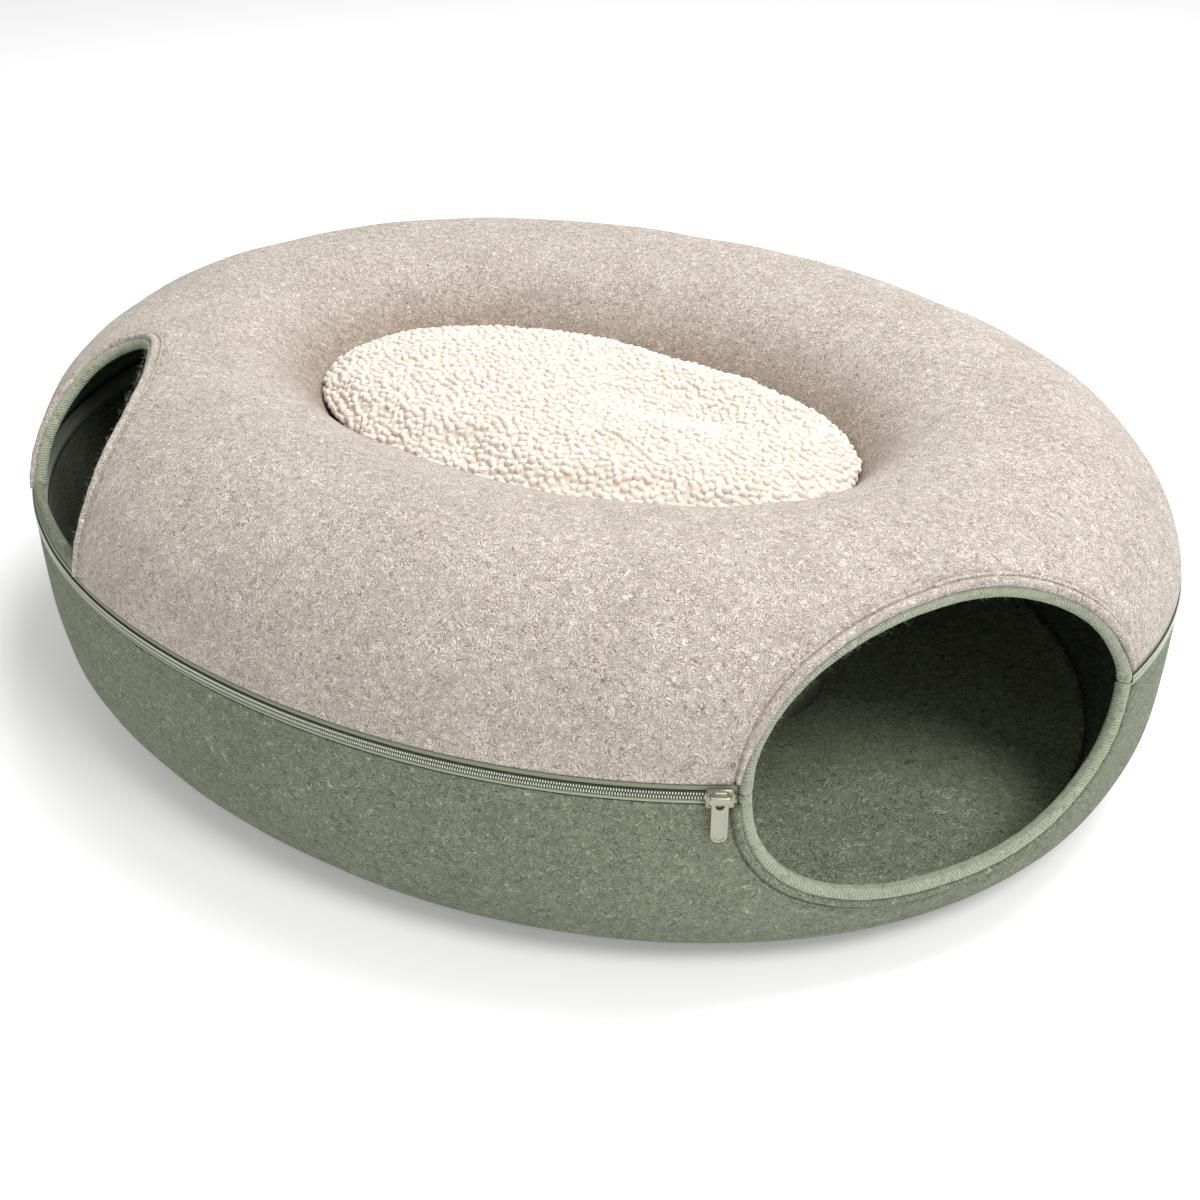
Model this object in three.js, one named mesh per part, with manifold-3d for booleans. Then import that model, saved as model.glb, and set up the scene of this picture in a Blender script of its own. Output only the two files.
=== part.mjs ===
// A cat tunnel bed: a felt ring for a cat to walk through, round a well that holds a cushion.
// Two felt shells are joined by a zip round the widest line. Millimetres, +Z up, base on z = 0.
// Turns are degrees round the bed from +X. "Along" is the distance along the cloth from the zip
// line, up over the crown when positive and down the bowl when negative. Depth goes into the
// cloth from its outer face.
import * as THREE from "three";
import { mergeVertices } from "three/addons/utils/BufferGeometryUtils.js";
import Module from "manifold-3d";

// Driving sizes of the whole bed
const LENGTH = 700;
const WIDTH = 572;
const HEIGHT = 192;
const ZIP_HEIGHT = 115;
const OUTLINE_POWER = 2.07;

// The ring's cross-section, as insets from the outline
const CROWN_INSET = 87;
const ROLL_POWER = 1.83;
const WELL_REACH = 108;
const WELL_DROP = 117;
const WELL_POWER = 2.33;
const FOOT_INSET = 82;
const BOWL_POWER = 3.88;

// The well is a little longer than the outline along one slanting line, and narrower across it
const WELL_SKEW = 0.065;
const WELL_SKEW_TURN = 38;

// Cloth
const SHELL_CLOTH = 3;
const LINING_CLOTH = 2;
const BOWL_CLOTH = 5;
const FLOOR_CLOTH = 4;
const GAP = 0.3;

// Zip, as distances along the cloth from the zip line and depths into it
const CHAIN_HALF = 2.2;
const CHAIN_PROUD = 0.9;
const TAPE_TOP = 5.1;
const TAPE_FOOT = -4.4;
const TAPE_FRONT = 0.5;
const TAPE_CLOTH = 1.5;
const TAPE_HIDDEN = 5.3;
const BEAD_PROUD = 0.8;

// Binding and hem round the mouths
const BINDING_WIDTH = 7;
const BINDING_DEPTH = 8;
const HEM_WIDTH = 5;
const HEM_RISE = 1.1;
const SILL_RISE = 7.3;

// Mouths: an arch above the zip line and, on the right, another below it
const RIGHT_ARCH = { middle: 342, ahead: 16, behind: 20.1, rise: 79, power: 2 };
const RIGHT_CURVE = { middle: 337, ahead: 21, behind: 15.1, rise: -69, power: 2.3 };
const LEFT_ARCH = { middle: 219, ahead: 26, rise: 117, bulge: 7, tuck: 6 };
const RIGHT_MIDDLE = { turn: 340, along: 5 };
const LEFT_MIDDLE = { turn: 228, along: 45 };

// Zip ends beside the right mouth, and the slider's place
const ZIP_START = -1.38;
const CHAIN_END = 320.8;
const TAPE_END = 321.25;
const SLIDER_TURN = 319.95;
const SLIDER = { length: 12.2, height: 9, plate: 2, beam: 9.6, beamHeight: 3.2, beamThickness: 1.6 };
const POST = { width: 2.4, height: 1.5 };
const TAB = { width: 7.4, length: 24.4, thickness: 1.5, top: 2.1, slot: 4, slotHeight: 5, slotTop: 0.5 };

// Cushion
const CUSHION_EDGE = 156;
const CUSHION_CROWN = 166;
const CUSHION_CLEARANCE = 1.5;
const CUSHION_CORNER = 26;

// Swells and hollows of the cushion's top: where they are, how far they reach and how high
const CUSHION_FORMS = [
  { x: 64, y: 34, reachX: 48, reachY: 32, rise: -12 },
  { x: -70, y: -12, reachX: 60, reachY: 50, rise: 4 },
  { x: 120, y: 56, reachX: 30, reachY: 26, rise: 4 },
];

// Fineness
const COLUMNS = 50;
const CHAIN_STEPS = 400;

const wasm = await Module();
wasm.setup();

const radians = THREE.MathUtils.degToRad;
const degrees = THREE.MathUtils.radToDeg;
const range = (count) => Array.from({ length: count }, (_, i) => i);
const spaced = (from, to, count) => range(count).map((i) => from + ((to - from) * i) / (count - 1));

// Outline and cross-section

function outlinePoint(turn) {
  const x = Math.cos(radians(turn));
  const y = Math.sin(radians(turn));
  const along = Math.abs(x / (LENGTH / 2)) ** OUTLINE_POWER;
  const across = Math.abs(y / (WIDTH / 2)) ** OUTLINE_POWER;
  return new THREE.Vector2(x, y).multiplyScalar((along + across) ** (-1 / OUTLINE_POWER));
}

function outlineNormal(turn) {
  const p = outlinePoint(turn);
  const slope = (v, half) => (Math.sign(v) * Math.abs(v / half) ** (OUTLINE_POWER - 1)) / half;
  return new THREE.Vector2(slope(p.x, LENGTH / 2), slope(p.y, WIDTH / 2)).normalize();
}

function place(turn, inset, height) {
  const p = outlinePoint(turn);
  const n = outlineNormal(turn);
  const beyond = Math.max(0, inset - CROWN_INSET);
  const skew = -WELL_SKEW * Math.cos(radians(2 * (turn - WELL_SKEW_TURN)));
  const reach = inset + beyond * skew;
  return new THREE.Vector3(p.x - reach * n.x, p.y - reach * n.y, height);
}

// A quarter turn of a rounded corner, from (0, 0) to (1, 1), leaving along the second axis
function corner(share, power) {
  const angle = (share * Math.PI) / 2;
  return [1 - Math.cos(angle) ** (2 / power), Math.sin(angle) ** (2 / power)];
}

const WELL_INSET = CROWN_INSET + WELL_REACH;
const FLOOR_TOP = BOWL_CLOTH + GAP + FLOOR_CLOTH;
const WELL_FOOT = FLOOR_TOP + GAP;

function rollPoint(share) {
  const [over, up] = corner(share, ROLL_POWER);
  return { inset: CROWN_INSET * over, height: ZIP_HEIGHT + (HEIGHT - ZIP_HEIGHT) * up };
}

function wellPoint(share) {
  const [back, down] = corner(1 - share, WELL_POWER);
  return { inset: WELL_INSET - WELL_REACH * back, height: HEIGHT - WELL_DROP * (1 - down) };
}

function bowlPoint(share) {
  const [under, down] = corner(share, BOWL_POWER);
  return { inset: FOOT_INSET * under, height: ZIP_HEIGHT * (1 - down) };
}

// The outer face as a chain of points with their distance from the zip line
function measured(points) {
  let length = 0;
  return points.map((point, i) => {
    const last = points[Math.max(0, i - 1)];
    length += Math.hypot(point.inset - last.inset, point.height - last.height);
    return { ...point, length };
  });
}

const shares = spaced(0, 1, CHAIN_STEPS + 1);
const upperFace = measured([
  ...shares.map(rollPoint),
  ...shares.slice(1).map(wellPoint),
  { inset: WELL_INSET, height: WELL_FOOT },
]);
const lowerFace = measured(shares.map(bowlPoint));
const WELL_FOOT_ALONG = upperFace.at(-1).length;
const FOOT_ALONG = lowerFace.at(-1).length;
const CROWN_ALONG = upperFace[CHAIN_STEPS].length;
const WALL_ALONG = upperFace[2 * CHAIN_STEPS].length;

function pointOnChain(chain, length) {
  let i = chain.findIndex((point) => point.length >= length);
  i = i < 1 ? (i < 0 ? chain.length - 1 : 1) : i;
  const from = chain[i - 1];
  const to = chain[i];
  const share = (length - from.length) / (to.length - from.length);
  const mix = (key) => from[key] + (to[key] - from[key]) * share;
  return { inset: mix("inset"), height: mix("height") };
}

function faceAt(along) {
  return along >= 0 ? pointOnChain(upperFace, along) : pointOnChain(lowerFace, -along);
}

// The outer face's direction into the cloth, as inset and height
function inwardAt(along) {
  const step = 2;
  const limit = (v) => Math.min(WELL_FOOT_ALONG, Math.max(-FOOT_ALONG, v));
  const from = faceAt(limit(along - step));
  const to = faceAt(limit(along + step));
  const length = Math.hypot(to.inset - from.inset, to.height - from.height);
  return { inset: (to.height - from.height) / length, height: (from.inset - to.inset) / length };
}

function clothPoint(turn, along, depth) {
  const face = faceAt(along);
  const inward = inwardAt(along);
  return place(turn, face.inset + depth * inward.inset, face.height + depth * inward.height);
}

// Rows of the felt pieces along the cloth. Between rows and columns the felt is flat.
const UPPER_EDGE = TAPE_TOP + 0.6;
const LOWER_EDGE = TAPE_FOOT - 0.5;
const LINING_EDGE = UPPER_EDGE + TAPE_HIDDEN;
const upperRows = [
  ...spaced(UPPER_EDGE, CROWN_ALONG, 7),
  ...spaced(CROWN_ALONG, WALL_ALONG, 7).slice(1),
  WELL_FOOT_ALONG,
];
const TUCK_START = -95;
const TUCK_END = -135;
const lowerRows = [
  ...spaced(LOWER_EDGE, TUCK_START, 4),
  ...spaced(TUCK_START, TUCK_END, 4).slice(1),
  -FOOT_ALONG,
];

// Columns stand at even steps round the stretched circle, closer where the outline bends more
function turnOf(column) {
  const angle = (2 * Math.PI * column) / COLUMNS;
  const turn = degrees(Math.atan2(WIDTH * Math.sin(angle), LENGTH * Math.cos(angle)));
  return turn + 360 * Math.round((degrees(angle) - turn) / 360);
}

function columnOf(turn) {
  const angle = degrees(Math.atan2(LENGTH * Math.sin(radians(turn)), WIDTH * Math.cos(radians(turn))));
  return ((angle + 360 * Math.round((turn - angle) / 360)) * COLUMNS) / 360;
}

// A point on the flat facets between the rows and columns
function facetPoint(turn, along, depth) {
  const rows = [0, ...(along >= 0 ? upperRows : lowerRows)];
  const r = Math.max(1, rows.findIndex((row) => Math.abs(row) >= Math.abs(along)));
  const rowShare = (along - rows[r - 1]) / (rows[r] - rows[r - 1]);
  const column = Math.floor(columnOf(turn) + 1e-9);
  const columnShare = columnOf(turn) - column;
  const onRow = (row) => {
    const from = clothPoint(turnOf(column), row, depth);
    return from.lerp(clothPoint(turnOf(column + 1), row, depth), columnShare);
  };
  return onRow(rows[r - 1]).lerp(onRow(rows[r]), rowShare);
}

// Solids from rings of points

const volumeOf = (points, faces) =>
  faces.reduce((sum, [a, b, c]) => {
    const normal = new THREE.Vector3().crossVectors(points[b], points[c]);
    return sum + points[a].dot(normal) / 6;
  }, 0);

function geometryOf(points, faces) {
  const outward = volumeOf(points, faces) > 0;
  const geometry = new THREE.BufferGeometry().setFromPoints(points);
  geometry.setIndex(faces.flatMap(([a, b, c]) => (outward ? [a, b, c] : [a, c, b])));
  return geometry;
}

// The triangles that close a section, in the order of its points
function capOf(section) {
  const flat = section.map(([x, y]) => new THREE.Vector2(x, y));
  const clockwise = THREE.ShapeUtils.isClockWise(flat);
  return THREE.ShapeUtils.triangulateShape(flat, []).map(([a, b, c]) => {
    const same = THREE.ShapeUtils.isClockWise([flat[a], flat[b], flat[c]]) === clockwise;
    return same ? [a, b, c] : [a, c, b];
  });
}

// Joins rings of equally many points. The last ring meets the first, or both ends are closed:
// by a fan from each of two poles, or by the flat cap of the section they follow.
function ringSolid(rings, { looped = false, poles = null, section = null } = {}) {
  const size = rings[0].length;
  const points = rings.flat();
  const faces = [];
  const pairs = looped ? rings.length : rings.length - 1;
  for (const r of range(pairs)) {
    for (const i of range(size)) {
      const next = (i + 1) % size;
      const near = r * size;
      const far = ((r + 1) % rings.length) * size;
      faces.push([near + i, near + next, far + next], [near + i, far + next, far + i]);
    }
  }
  const lastRing = (rings.length - 1) * size;
  if (poles) {
    points.push(...poles);
    for (const i of range(size)) {
      const next = (i + 1) % size;
      faces.push([points.length - 2, next, i]);
      faces.push([points.length - 1, lastRing + i, lastRing + next]);
    }
  }
  if (section) {
    const cap = capOf(section);
    faces.push(...cap.map(([a, b, c]) => [a, c, b]));
    faces.push(...cap.map((face) => face.map((i) => i + lastRing)));
  }
  return geometryOf(points, faces);
}

const fullTurns = range(COLUMNS).map(turnOf);
const ringAt = (along, depth) => fullTurns.map((turn) => facetPoint(turn, along, depth));

// Booleans

function solidOf(geometry) {
  const bare = geometry.clone();
  bare.deleteAttribute("normal");
  bare.deleteAttribute("uv");
  const merged = mergeVertices(bare, 1e-4);
  return new wasm.Manifold(
    new wasm.Mesh({
      numProp: 3,
      vertProperties: merged.getAttribute("position").array,
      triVerts: new Uint32Array(merged.index.array),
    }),
  );
}

function geometryFrom(solid) {
  const mesh = solid.getMesh();
  const geometry = new THREE.BufferGeometry();
  geometry.setAttribute("position", new THREE.BufferAttribute(mesh.vertProperties, 3));
  geometry.setIndex(new THREE.BufferAttribute(mesh.triVerts, 1));
  return geometry;
}

const cut = (geometry, tools) =>
  geometryFrom(tools.reduce((solid, tool) => solid.subtract(solidOf(tool)), solidOf(geometry)));
const join = (geometry, additions) =>
  geometryFrom(additions.reduce((solid, tool) => solid.add(solidOf(tool)), solidOf(geometry)));

// Mouth edges: lines on the cloth, as turn and along, that the bindings follow

function archLine({ middle, ahead, behind, rise, power }, count) {
  return spaced(0, Math.PI, count).map((angle) => {
    const side = Math.cos(angle);
    const reach = Math.abs(side) ** (2 / power);
    return {
      turn: middle + (side > 0 ? ahead : -behind) * reach,
      along: rise * Math.sin(angle) ** (2 / power),
    };
  });
}

// The left arch is half of an even arch at its near side. Its far side bulges and tucks in.
function leftLine({ middle, ahead, rise, bulge, tuck }, count) {
  return spaced(0, Math.PI, count).map((angle) => {
    const side = Math.cos(angle);
    const far = bulge * Math.sin(2 * angle) + tuck * side * side;
    return { turn: middle + (side > 0 ? ahead * side : far), along: rise * Math.sin(angle) };
  });
}

// The frame of a line on the cloth at each point: its place at a depth, the way out of the
// cloth, and the way aside, which leaves the mouth above the zip line and enters it below
function lineFrames(line, depth) {
  const at = (p) => clothPoint(p.turn, p.along, depth);
  return line.map((p, i) => {
    const before = at(line[Math.max(0, i - 1)]);
    const after = at(line[Math.min(line.length - 1, i + 1)]);
    const course = after.sub(before).normalize();
    const outward = clothPoint(p.turn, p.along, depth - 1).sub(at(p));
    outward.addScaledVector(course, -outward.dot(course)).normalize();
    const aside = new THREE.Vector3().crossVectors(course, outward);
    return { turn: p.turn, along: p.along, origin: at(p), outward, aside };
  });
}

// Moves each point of a line on the cloth aside
function widened(line, distance) {
  const step = 0.5;
  return lineFrames(line, 0).map(({ turn, along, origin, aside }) => {
    const perTurn = clothPoint(turn + step, along, 0).sub(origin).divideScalar(step);
    const perAlong = clothPoint(turn, along + step, 0).sub(origin).divideScalar(step);
    return {
      turn: turn + (distance * aside.dot(perTurn)) / perTurn.lengthSq(),
      along: along + (distance * aside.dot(perAlong)) / perAlong.lengthSq(),
    };
  });
}

// A solid that cuts a mouth through the cloth: the closed line, carried from outside to
// inside, with caps of shrinking rings that follow the cloth
function punch(line, middle) {
  const capSizes = [0.36, 0.68];
  const depths = [-9, -1.6, SHELL_CLOTH, BOWL_CLOTH + 2, 14];
  const share = (from, to, size) => from + (to - from) * size;
  const ring = (depth, size) =>
    line.map((p) => clothPoint(share(middle.turn, p.turn, size), share(middle.along, p.along, size), depth));
  const rings = [
    ...capSizes.map((size) => ring(depths[0], size)),
    ...depths.map((depth) => ring(depth, 1)),
    ...capSizes.toReversed().map((size) => ring(depths.at(-1), size)),
  ];
  const poles = [depths[0], depths.at(-1)].map((depth) => clothPoint(middle.turn, middle.along, depth));
  return ringSolid(rings, { poles });
}

// A section carried along a line on the cloth. The section's points are [aside, outward].
// Both ends can be cut level at a height.
function carried(line, depth, section, level = null) {
  const rings = lineFrames(line, depth).map(({ origin, outward, aside }) =>
    section.map(([side, out]) => origin.clone().addScaledVector(aside, side).addScaledVector(outward, out)),
  );
  if (level !== null) [rings[0], rings.at(-1)].flat().forEach((point) => point.setZ(level));
  return ringSolid(rings, { section });
}

const ovalSection = (width, height, sides) =>
  range(sides).map((i) => {
    const angle = (2 * Math.PI * (i + 0.5)) / sides;
    return [(width / 2) * Math.cos(angle), (height / 2) * Math.sin(angle)];
  });

// A section carried round the bed on the felt's facets. Its points are [depth, along].
function carriedRound(from, to, section) {
  const first = Math.ceil(columnOf(from) + 0.1);
  const last = Math.floor(columnOf(to) - 0.1);
  const turns = [from, ...range(last - first + 1).map((i) => turnOf(first + i)), to];
  const rings = turns.map((turn) => section.map(([depth, along]) => facetPoint(turn, along, depth)));
  return ringSolid(rings, { section });
}

// The part of a line that lies beyond a distance along the cloth, cut there exactly
function beyond(line, limit) {
  const inside = (p) => (p.along - limit) * Math.sign(limit) > 0;
  const crossing = (a, b) => {
    const share = (limit - a.along) / (b.along - a.along);
    return { turn: a.turn + (b.turn - a.turn) * share, along: limit };
  };
  const first = line.findIndex(inside);
  const last = line.findLastIndex(inside);
  const ends = [crossing(line[first - 1], line[first]), crossing(line[last], line[last + 1])];
  return [ends[0], ...line.slice(first, last + 1), ends[1]];
}

// The lines of both mouths, and the cuts beside their bindings
const rightArch = archLine(RIGHT_ARCH, 21);
const rightCurve = archLine(RIGHT_CURVE, 21);
const leftArch = leftLine(LEFT_ARCH, 23);
const CUT_ASIDE = BINDING_WIDTH / 2 + GAP;
const HEM_ASIDE = CUT_ASIDE + HEM_WIDTH / 2 + GAP;
const PUNCH_FOOT = -3;

const lowerCut = widened(rightCurve, -CUT_ASIDE).slice(1, -1);
const rightCut = [...widened(rightArch, CUT_ASIDE), ...lowerCut.toReversed()];
const leftWidened = widened(leftArch, CUT_ASIDE);
const leftFeet = [leftWidened[0], leftWidened.at(-1)].map(({ turn }) => ({ turn, along: PUNCH_FOOT }));
const leftCut = [leftFeet[0], ...leftWidened.slice(1, -1), leftFeet[1]];
const rightPunch = punch(rightCut, RIGHT_MIDDLE);
const leftPunch = punch(leftCut, LEFT_MIDDLE);

// The hem's section, sunk a little into its cloth. It starts just off the cloth's edge.
const HEM_START = 2.4;
const HEM_SINK = 1.2;
const hemSection = [
  [-HEM_WIDTH / 2, -HEM_SINK],
  [HEM_WIDTH / 2, -HEM_SINK],
  [HEM_WIDTH / 2, HEM_RISE / 3],
  [HEM_WIDTH / 4, HEM_RISE],
  [-HEM_WIDTH / 4, HEM_RISE],
  [-HEM_WIDTH / 2, HEM_RISE / 3],
];

// Felt pieces

function layer(alongs, outer, inner) {
  const rings = [
    ...alongs.map((along) => ringAt(along, outer)),
    ...alongs.toReversed().map((along) => ringAt(along, inner)),
  ];
  return ringSolid(rings, { looped: true });
}

function upperShell() {
  const cloth = cut(layer(upperRows, 0, SHELL_CLOTH), [rightPunch, leftPunch]);
  const hems = [rightArch, leftArch].map((line) =>
    carried(beyond(widened(line, HEM_ASIDE), UPPER_EDGE + HEM_START), 0, hemSection),
  );
  return join(cloth, hems);
}

function upperLining() {
  const outer = SHELL_CLOTH + GAP;
  const rows = [LINING_EDGE, ...upperRows.slice(1)];
  return cut(layer(rows, outer, outer + LINING_CLOTH), [rightPunch, leftPunch]);
}

// A dish of cloth: rings from its rim to its flat middle, closed on both sides by poles
function dish(alongs, outer, inner) {
  const rings = [
    ...alongs.toReversed().map((along) => ringAt(along, outer)),
    ...alongs.map((along) => ringAt(along, inner)),
  ];
  return ringSolid(rings, { poles: [new THREE.Vector3(0, 0, outer), new THREE.Vector3(0, 0, inner)] });
}

function lowerBowl() {
  const cloth = cut(dish(lowerRows, 0, BOWL_CLOTH), [rightPunch]);
  const hemLine = beyond(widened(rightCurve, -HEM_ASIDE), LOWER_EDGE - HEM_START);
  return join(cloth, [carried(hemLine, 0, hemSection)]);
}

const floorPanel = () => dish(lowerRows.slice(-3), BOWL_CLOTH + GAP, FLOOR_TOP);

// Zip: the tapes show beside the teeth and carry on behind the felt

const hiddenTop = LINING_EDGE - GAP;
const upperBack = SHELL_CLOTH + GAP;
const tapeBack = TAPE_FRONT + TAPE_CLOTH;
const upperTape = () =>
  carriedRound(ZIP_START, TAPE_END, [
    [TAPE_FRONT, CHAIN_HALF + GAP],
    [TAPE_FRONT, TAPE_TOP],
    [upperBack, TAPE_TOP + GAP],
    [upperBack, hiddenTop],
    [upperBack + TAPE_CLOTH, hiddenTop],
    [upperBack + TAPE_CLOTH, TAPE_TOP - TAPE_CLOTH],
    [tapeBack, TAPE_TOP - TAPE_CLOTH],
    [tapeBack, CHAIN_HALF + GAP],
  ]);

const lowerBack = BOWL_CLOTH + GAP;
const hiddenFoot = LOWER_EDGE - TAPE_HIDDEN;
const lowerTape = () =>
  carriedRound(ZIP_START, TAPE_END, [
    [TAPE_FRONT, -CHAIN_HALF - GAP],
    [-BEAD_PROUD, -CHAIN_HALF - 0.7],
    [-BEAD_PROUD, TAPE_FOOT + 0.6],
    [TAPE_FRONT, TAPE_FOOT],
    [lowerBack, TAPE_FOOT],
    [lowerBack, hiddenFoot],
    [lowerBack + TAPE_CLOTH, hiddenFoot],
    [lowerBack + TAPE_CLOTH, TAPE_FOOT + TAPE_CLOTH],
    [tapeBack, TAPE_FOOT + TAPE_CLOTH],
    [tapeBack, -CHAIN_HALF - GAP],
  ]);

const zipChain = () =>
  carriedRound(ZIP_START, CHAIN_END, [
    [-CHAIN_PROUD + 0.7, -CHAIN_HALF],
    [-CHAIN_PROUD, -CHAIN_HALF + 0.7],
    [-CHAIN_PROUD, CHAIN_HALF - 0.7],
    [-CHAIN_PROUD + 0.7, CHAIN_HALF],
    [tapeBack, CHAIN_HALF],
    [tapeBack, -CHAIN_HALF],
  ]);

// The slider's own frame: X along the zip, -Y out of the bed, Z up from the zip line.
// The tab hangs between the plate and the beam, on the post that joins them.
const PLATE_BACK = -CHAIN_PROUD - 0.4;
const PLATE_FRONT = PLATE_BACK - SLIDER.plate;
const TAB_BACK = PLATE_FRONT - GAP;
const TAB_FRONT = TAB_BACK - TAB.thickness;
const BEAM_BACK = TAB_FRONT - GAP;
const BEAM_FRONT = BEAM_BACK - SLIDER.beamThickness;

// A prism from a front view, standing between two depths
function prism(shape, back, front) {
  const options = { depth: back - front, bevelEnabled: false, curveSegments: 6 };
  return new THREE.ExtrudeGeometry(shape, options).rotateX(Math.PI / 2).translate(0, back, 0);
}

const shapeOf = (pairs) => new THREE.Shape(pairs.map(([x, z]) => new THREE.Vector2(x, z)));

// A bar with its corners taken off, centred at a height
function bar(length, height, middle, back, front) {
  const x = length / 2;
  const z = height / 2;
  const round = 0.7;
  const pairs = [
    [-x, -z + round],
    [-x + round, -z],
    [x - round, -z],
    [x, -z + round],
    [x, z - round],
    [x - round, z],
    [-x + round, z],
    [-x, z - round],
  ];
  return prism(shapeOf(pairs.map(([px, pz]) => [px, pz + middle])), back, front);
}

function sliderBody() {
  const { length, height, beam, beamHeight } = SLIDER;
  const sunk = 0.4;
  const plate = bar(length, height, 0, PLATE_BACK, PLATE_FRONT);
  const crown = shapeOf([
    [-length / 2 + 0.8, TAB.top + GAP],
    [length / 2 - 0.8, TAB.top + GAP],
    [2.6, height / 2],
    [-2.2, height / 2],
  ]);
  const crownBody = prism(crown, PLATE_FRONT + sunk, BEAM_BACK);
  const postMiddle = TAB.slotTop - GAP - POST.height / 2;
  const postBody = bar(POST.width, POST.height, postMiddle, PLATE_FRONT + sunk, BEAM_BACK - sunk);
  const beamBody = bar(beam, beamHeight, TAB.top - beamHeight / 3, BEAM_BACK, BEAM_FRONT);
  return join(plate, [crownBody, postBody, beamBody]);
}

function pullTab() {
  const half = TAB.width / 2;
  const shape = shapeOf([
    [-half + 1, TAB.top],
    [-half, TAB.top - 1],
  ]);
  shape.absarc(0, TAB.top - TAB.length + half, half, Math.PI, 2 * Math.PI);
  shape.lineTo(half, TAB.top - 1);
  shape.lineTo(half - 1, TAB.top);
  shape.closePath();
  const slot = new THREE.Path();
  const slotHalf = TAB.slot / 2;
  slot.moveTo(slotHalf, TAB.slotTop);
  slot.lineTo(-slotHalf, TAB.slotTop);
  slot.absarc(0, TAB.slotTop - TAB.slotHeight + slotHalf, slotHalf, Math.PI, 2 * Math.PI);
  slot.closePath();
  shape.holes.push(slot);
  return prism(shape, TAB_BACK, TAB_FRONT);
}

// Cushion: it fills the well up to its edge, is rounded underneath and crowned on top, and
// has a hollow where it has been slept on

function cushionSide(height) {
  const chain = upperFace.slice(CHAIN_STEPS);
  const i = chain.findIndex((point) => point.height <= height);
  return (i < 0 ? WELL_INSET : chain[i].inset) + CUSHION_CLEARANCE;
}

function cushionForm(x, y) {
  const rises = CUSHION_FORMS.map((form) => {
    const away = ((x - form.x) / form.reachX) ** 2 + ((y - form.y) / form.reachY) ** 2;
    return form.rise * Math.exp(-away);
  });
  return rises.reduce((sum, rise) => sum + rise);
}

function cushion() {
  const foot = WELL_FOOT;
  const shoulder = CUSHION_EDGE - 18;
  const sides = [
    { inside: 16, height: foot },
    { inside: 5, height: foot + CUSHION_CORNER / 4 },
    { inside: 0, height: foot + CUSHION_CORNER },
    ...spaced(HEIGHT - WELL_DROP, shoulder, 4).map((height) => ({ inside: 0, height })),
    { inside: 1.5, height: CUSHION_EDGE - 7 },
    { inside: 7, height: CUSHION_EDGE },
  ];
  const rings = sides.map(({ inside, height }) =>
    fullTurns.map((turn) => place(turn, cushionSide(height) + inside, height)),
  );
  const crown = (share) =>
    rings.at(-1).map((p) => {
      const x = p.x * share;
      const y = p.y * share;
      const rise = (CUSHION_CROWN - CUSHION_EDGE) * (1 - share ** 2.4);
      return new THREE.Vector3(x, y, CUSHION_EDGE + rise + cushionForm(x, y) * (1 - share ** 4));
    });
  const tops = [0.88, 0.7, 0.48, 0.24].map(crown);
  const peak = new THREE.Vector3(0, 0, CUSHION_CROWN + cushionForm(0, 0));
  return ringSolid([...rings, ...tops], { poles: [new THREE.Vector3(0, 0, foot), peak] });
}

// Finishes

const finish = (color, roughness, metalness = 0) =>
  new THREE.MeshStandardMaterial({ color, roughness, metalness });
const beigeFelt = finish(0xc9beb2, 0.95);
const greenFelt = finish(0x8c947b, 0.95);
const greenTape = finish(0x8a917c, 0.8);
const paleTeeth = finish(0xb4b8a6, 0.45);
const satinMetal = finish(0xa9ab98, 0.35, 0.8);
const boucle = finish(0xe9dcc6, 1);

const bed = new THREE.Group();

function add(name, geometry, material, parent = bed) {
  geometry.computeVertexNormals();
  const mesh = new THREE.Mesh(geometry, material);
  mesh.name = name;
  parent.add(mesh);
}

const bindingSection = ovalSection(BINDING_WIDTH, BINDING_DEPTH, 8);
const bindingDepth = (SHELL_CLOTH + GAP + LINING_CLOTH) / 2;

// The sill strip is folded over the hidden part of the tape
const SILL_TOP = UPPER_EDGE + SILL_RISE;
const sillFold = hiddenTop + 0.5;
const sillSection = [
  [0.6, UPPER_EDGE + GAP],
  [0.6, SILL_TOP - 1.3],
  [1.9, SILL_TOP],
  [4.6, SILL_TOP],
  [5.6, SILL_TOP - 1],
  [5.6, sillFold],
  [SHELL_CLOTH, sillFold],
  [SHELL_CLOTH, UPPER_EDGE + GAP],
];
const sillInside = 0.35; // in degrees, at both ends
const [sillRight, sillLeft] = leftFeet.map(({ turn }) => turn);
const mouthBinding = (line, start) =>
  carried(beyond(line, start), bindingDepth, bindingSection, ZIP_HEIGHT + start);

add("upper_shell", upperShell(), beigeFelt);
add("upper_lining", upperLining(), greenFelt);
add("lower_bowl", lowerBowl(), greenFelt);
add("floor_panel", floorPanel(), greenFelt);
add("zip_tape_upper", upperTape(), greenTape);
add("zip_tape_lower", lowerTape(), greenTape);
add("zip_chain", zipChain(), paleTeeth);
add("right_binding_upper", mouthBinding(rightArch, GAP / 2), greenFelt);
add("right_binding_lower", mouthBinding(rightCurve, -GAP / 2), greenFelt);
add("left_binding", mouthBinding(leftArch, SILL_TOP + GAP), greenFelt);
add("left_sill_strip", carriedRound(sillLeft + sillInside, sillRight - sillInside, sillSection), greenTape);
add("well_cushion", cushion(), boucle);

// The slider's frame stands on the outline at its turn
const slider = new THREE.Group();
const sliderPlace = facetPoint(SLIDER_TURN, 0, 0);
const sliderNormal = outlineNormal(SLIDER_TURN);
slider.position.copy(sliderPlace);
slider.rotation.z = Math.atan2(sliderNormal.y, sliderNormal.x) + Math.PI / 2;
add("zip_slider", sliderBody(), satinMetal, slider);
add("pull_tab", pullTab(), satinMetal, slider);
bed.add(slider);

export default bed;
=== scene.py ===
import math

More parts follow.
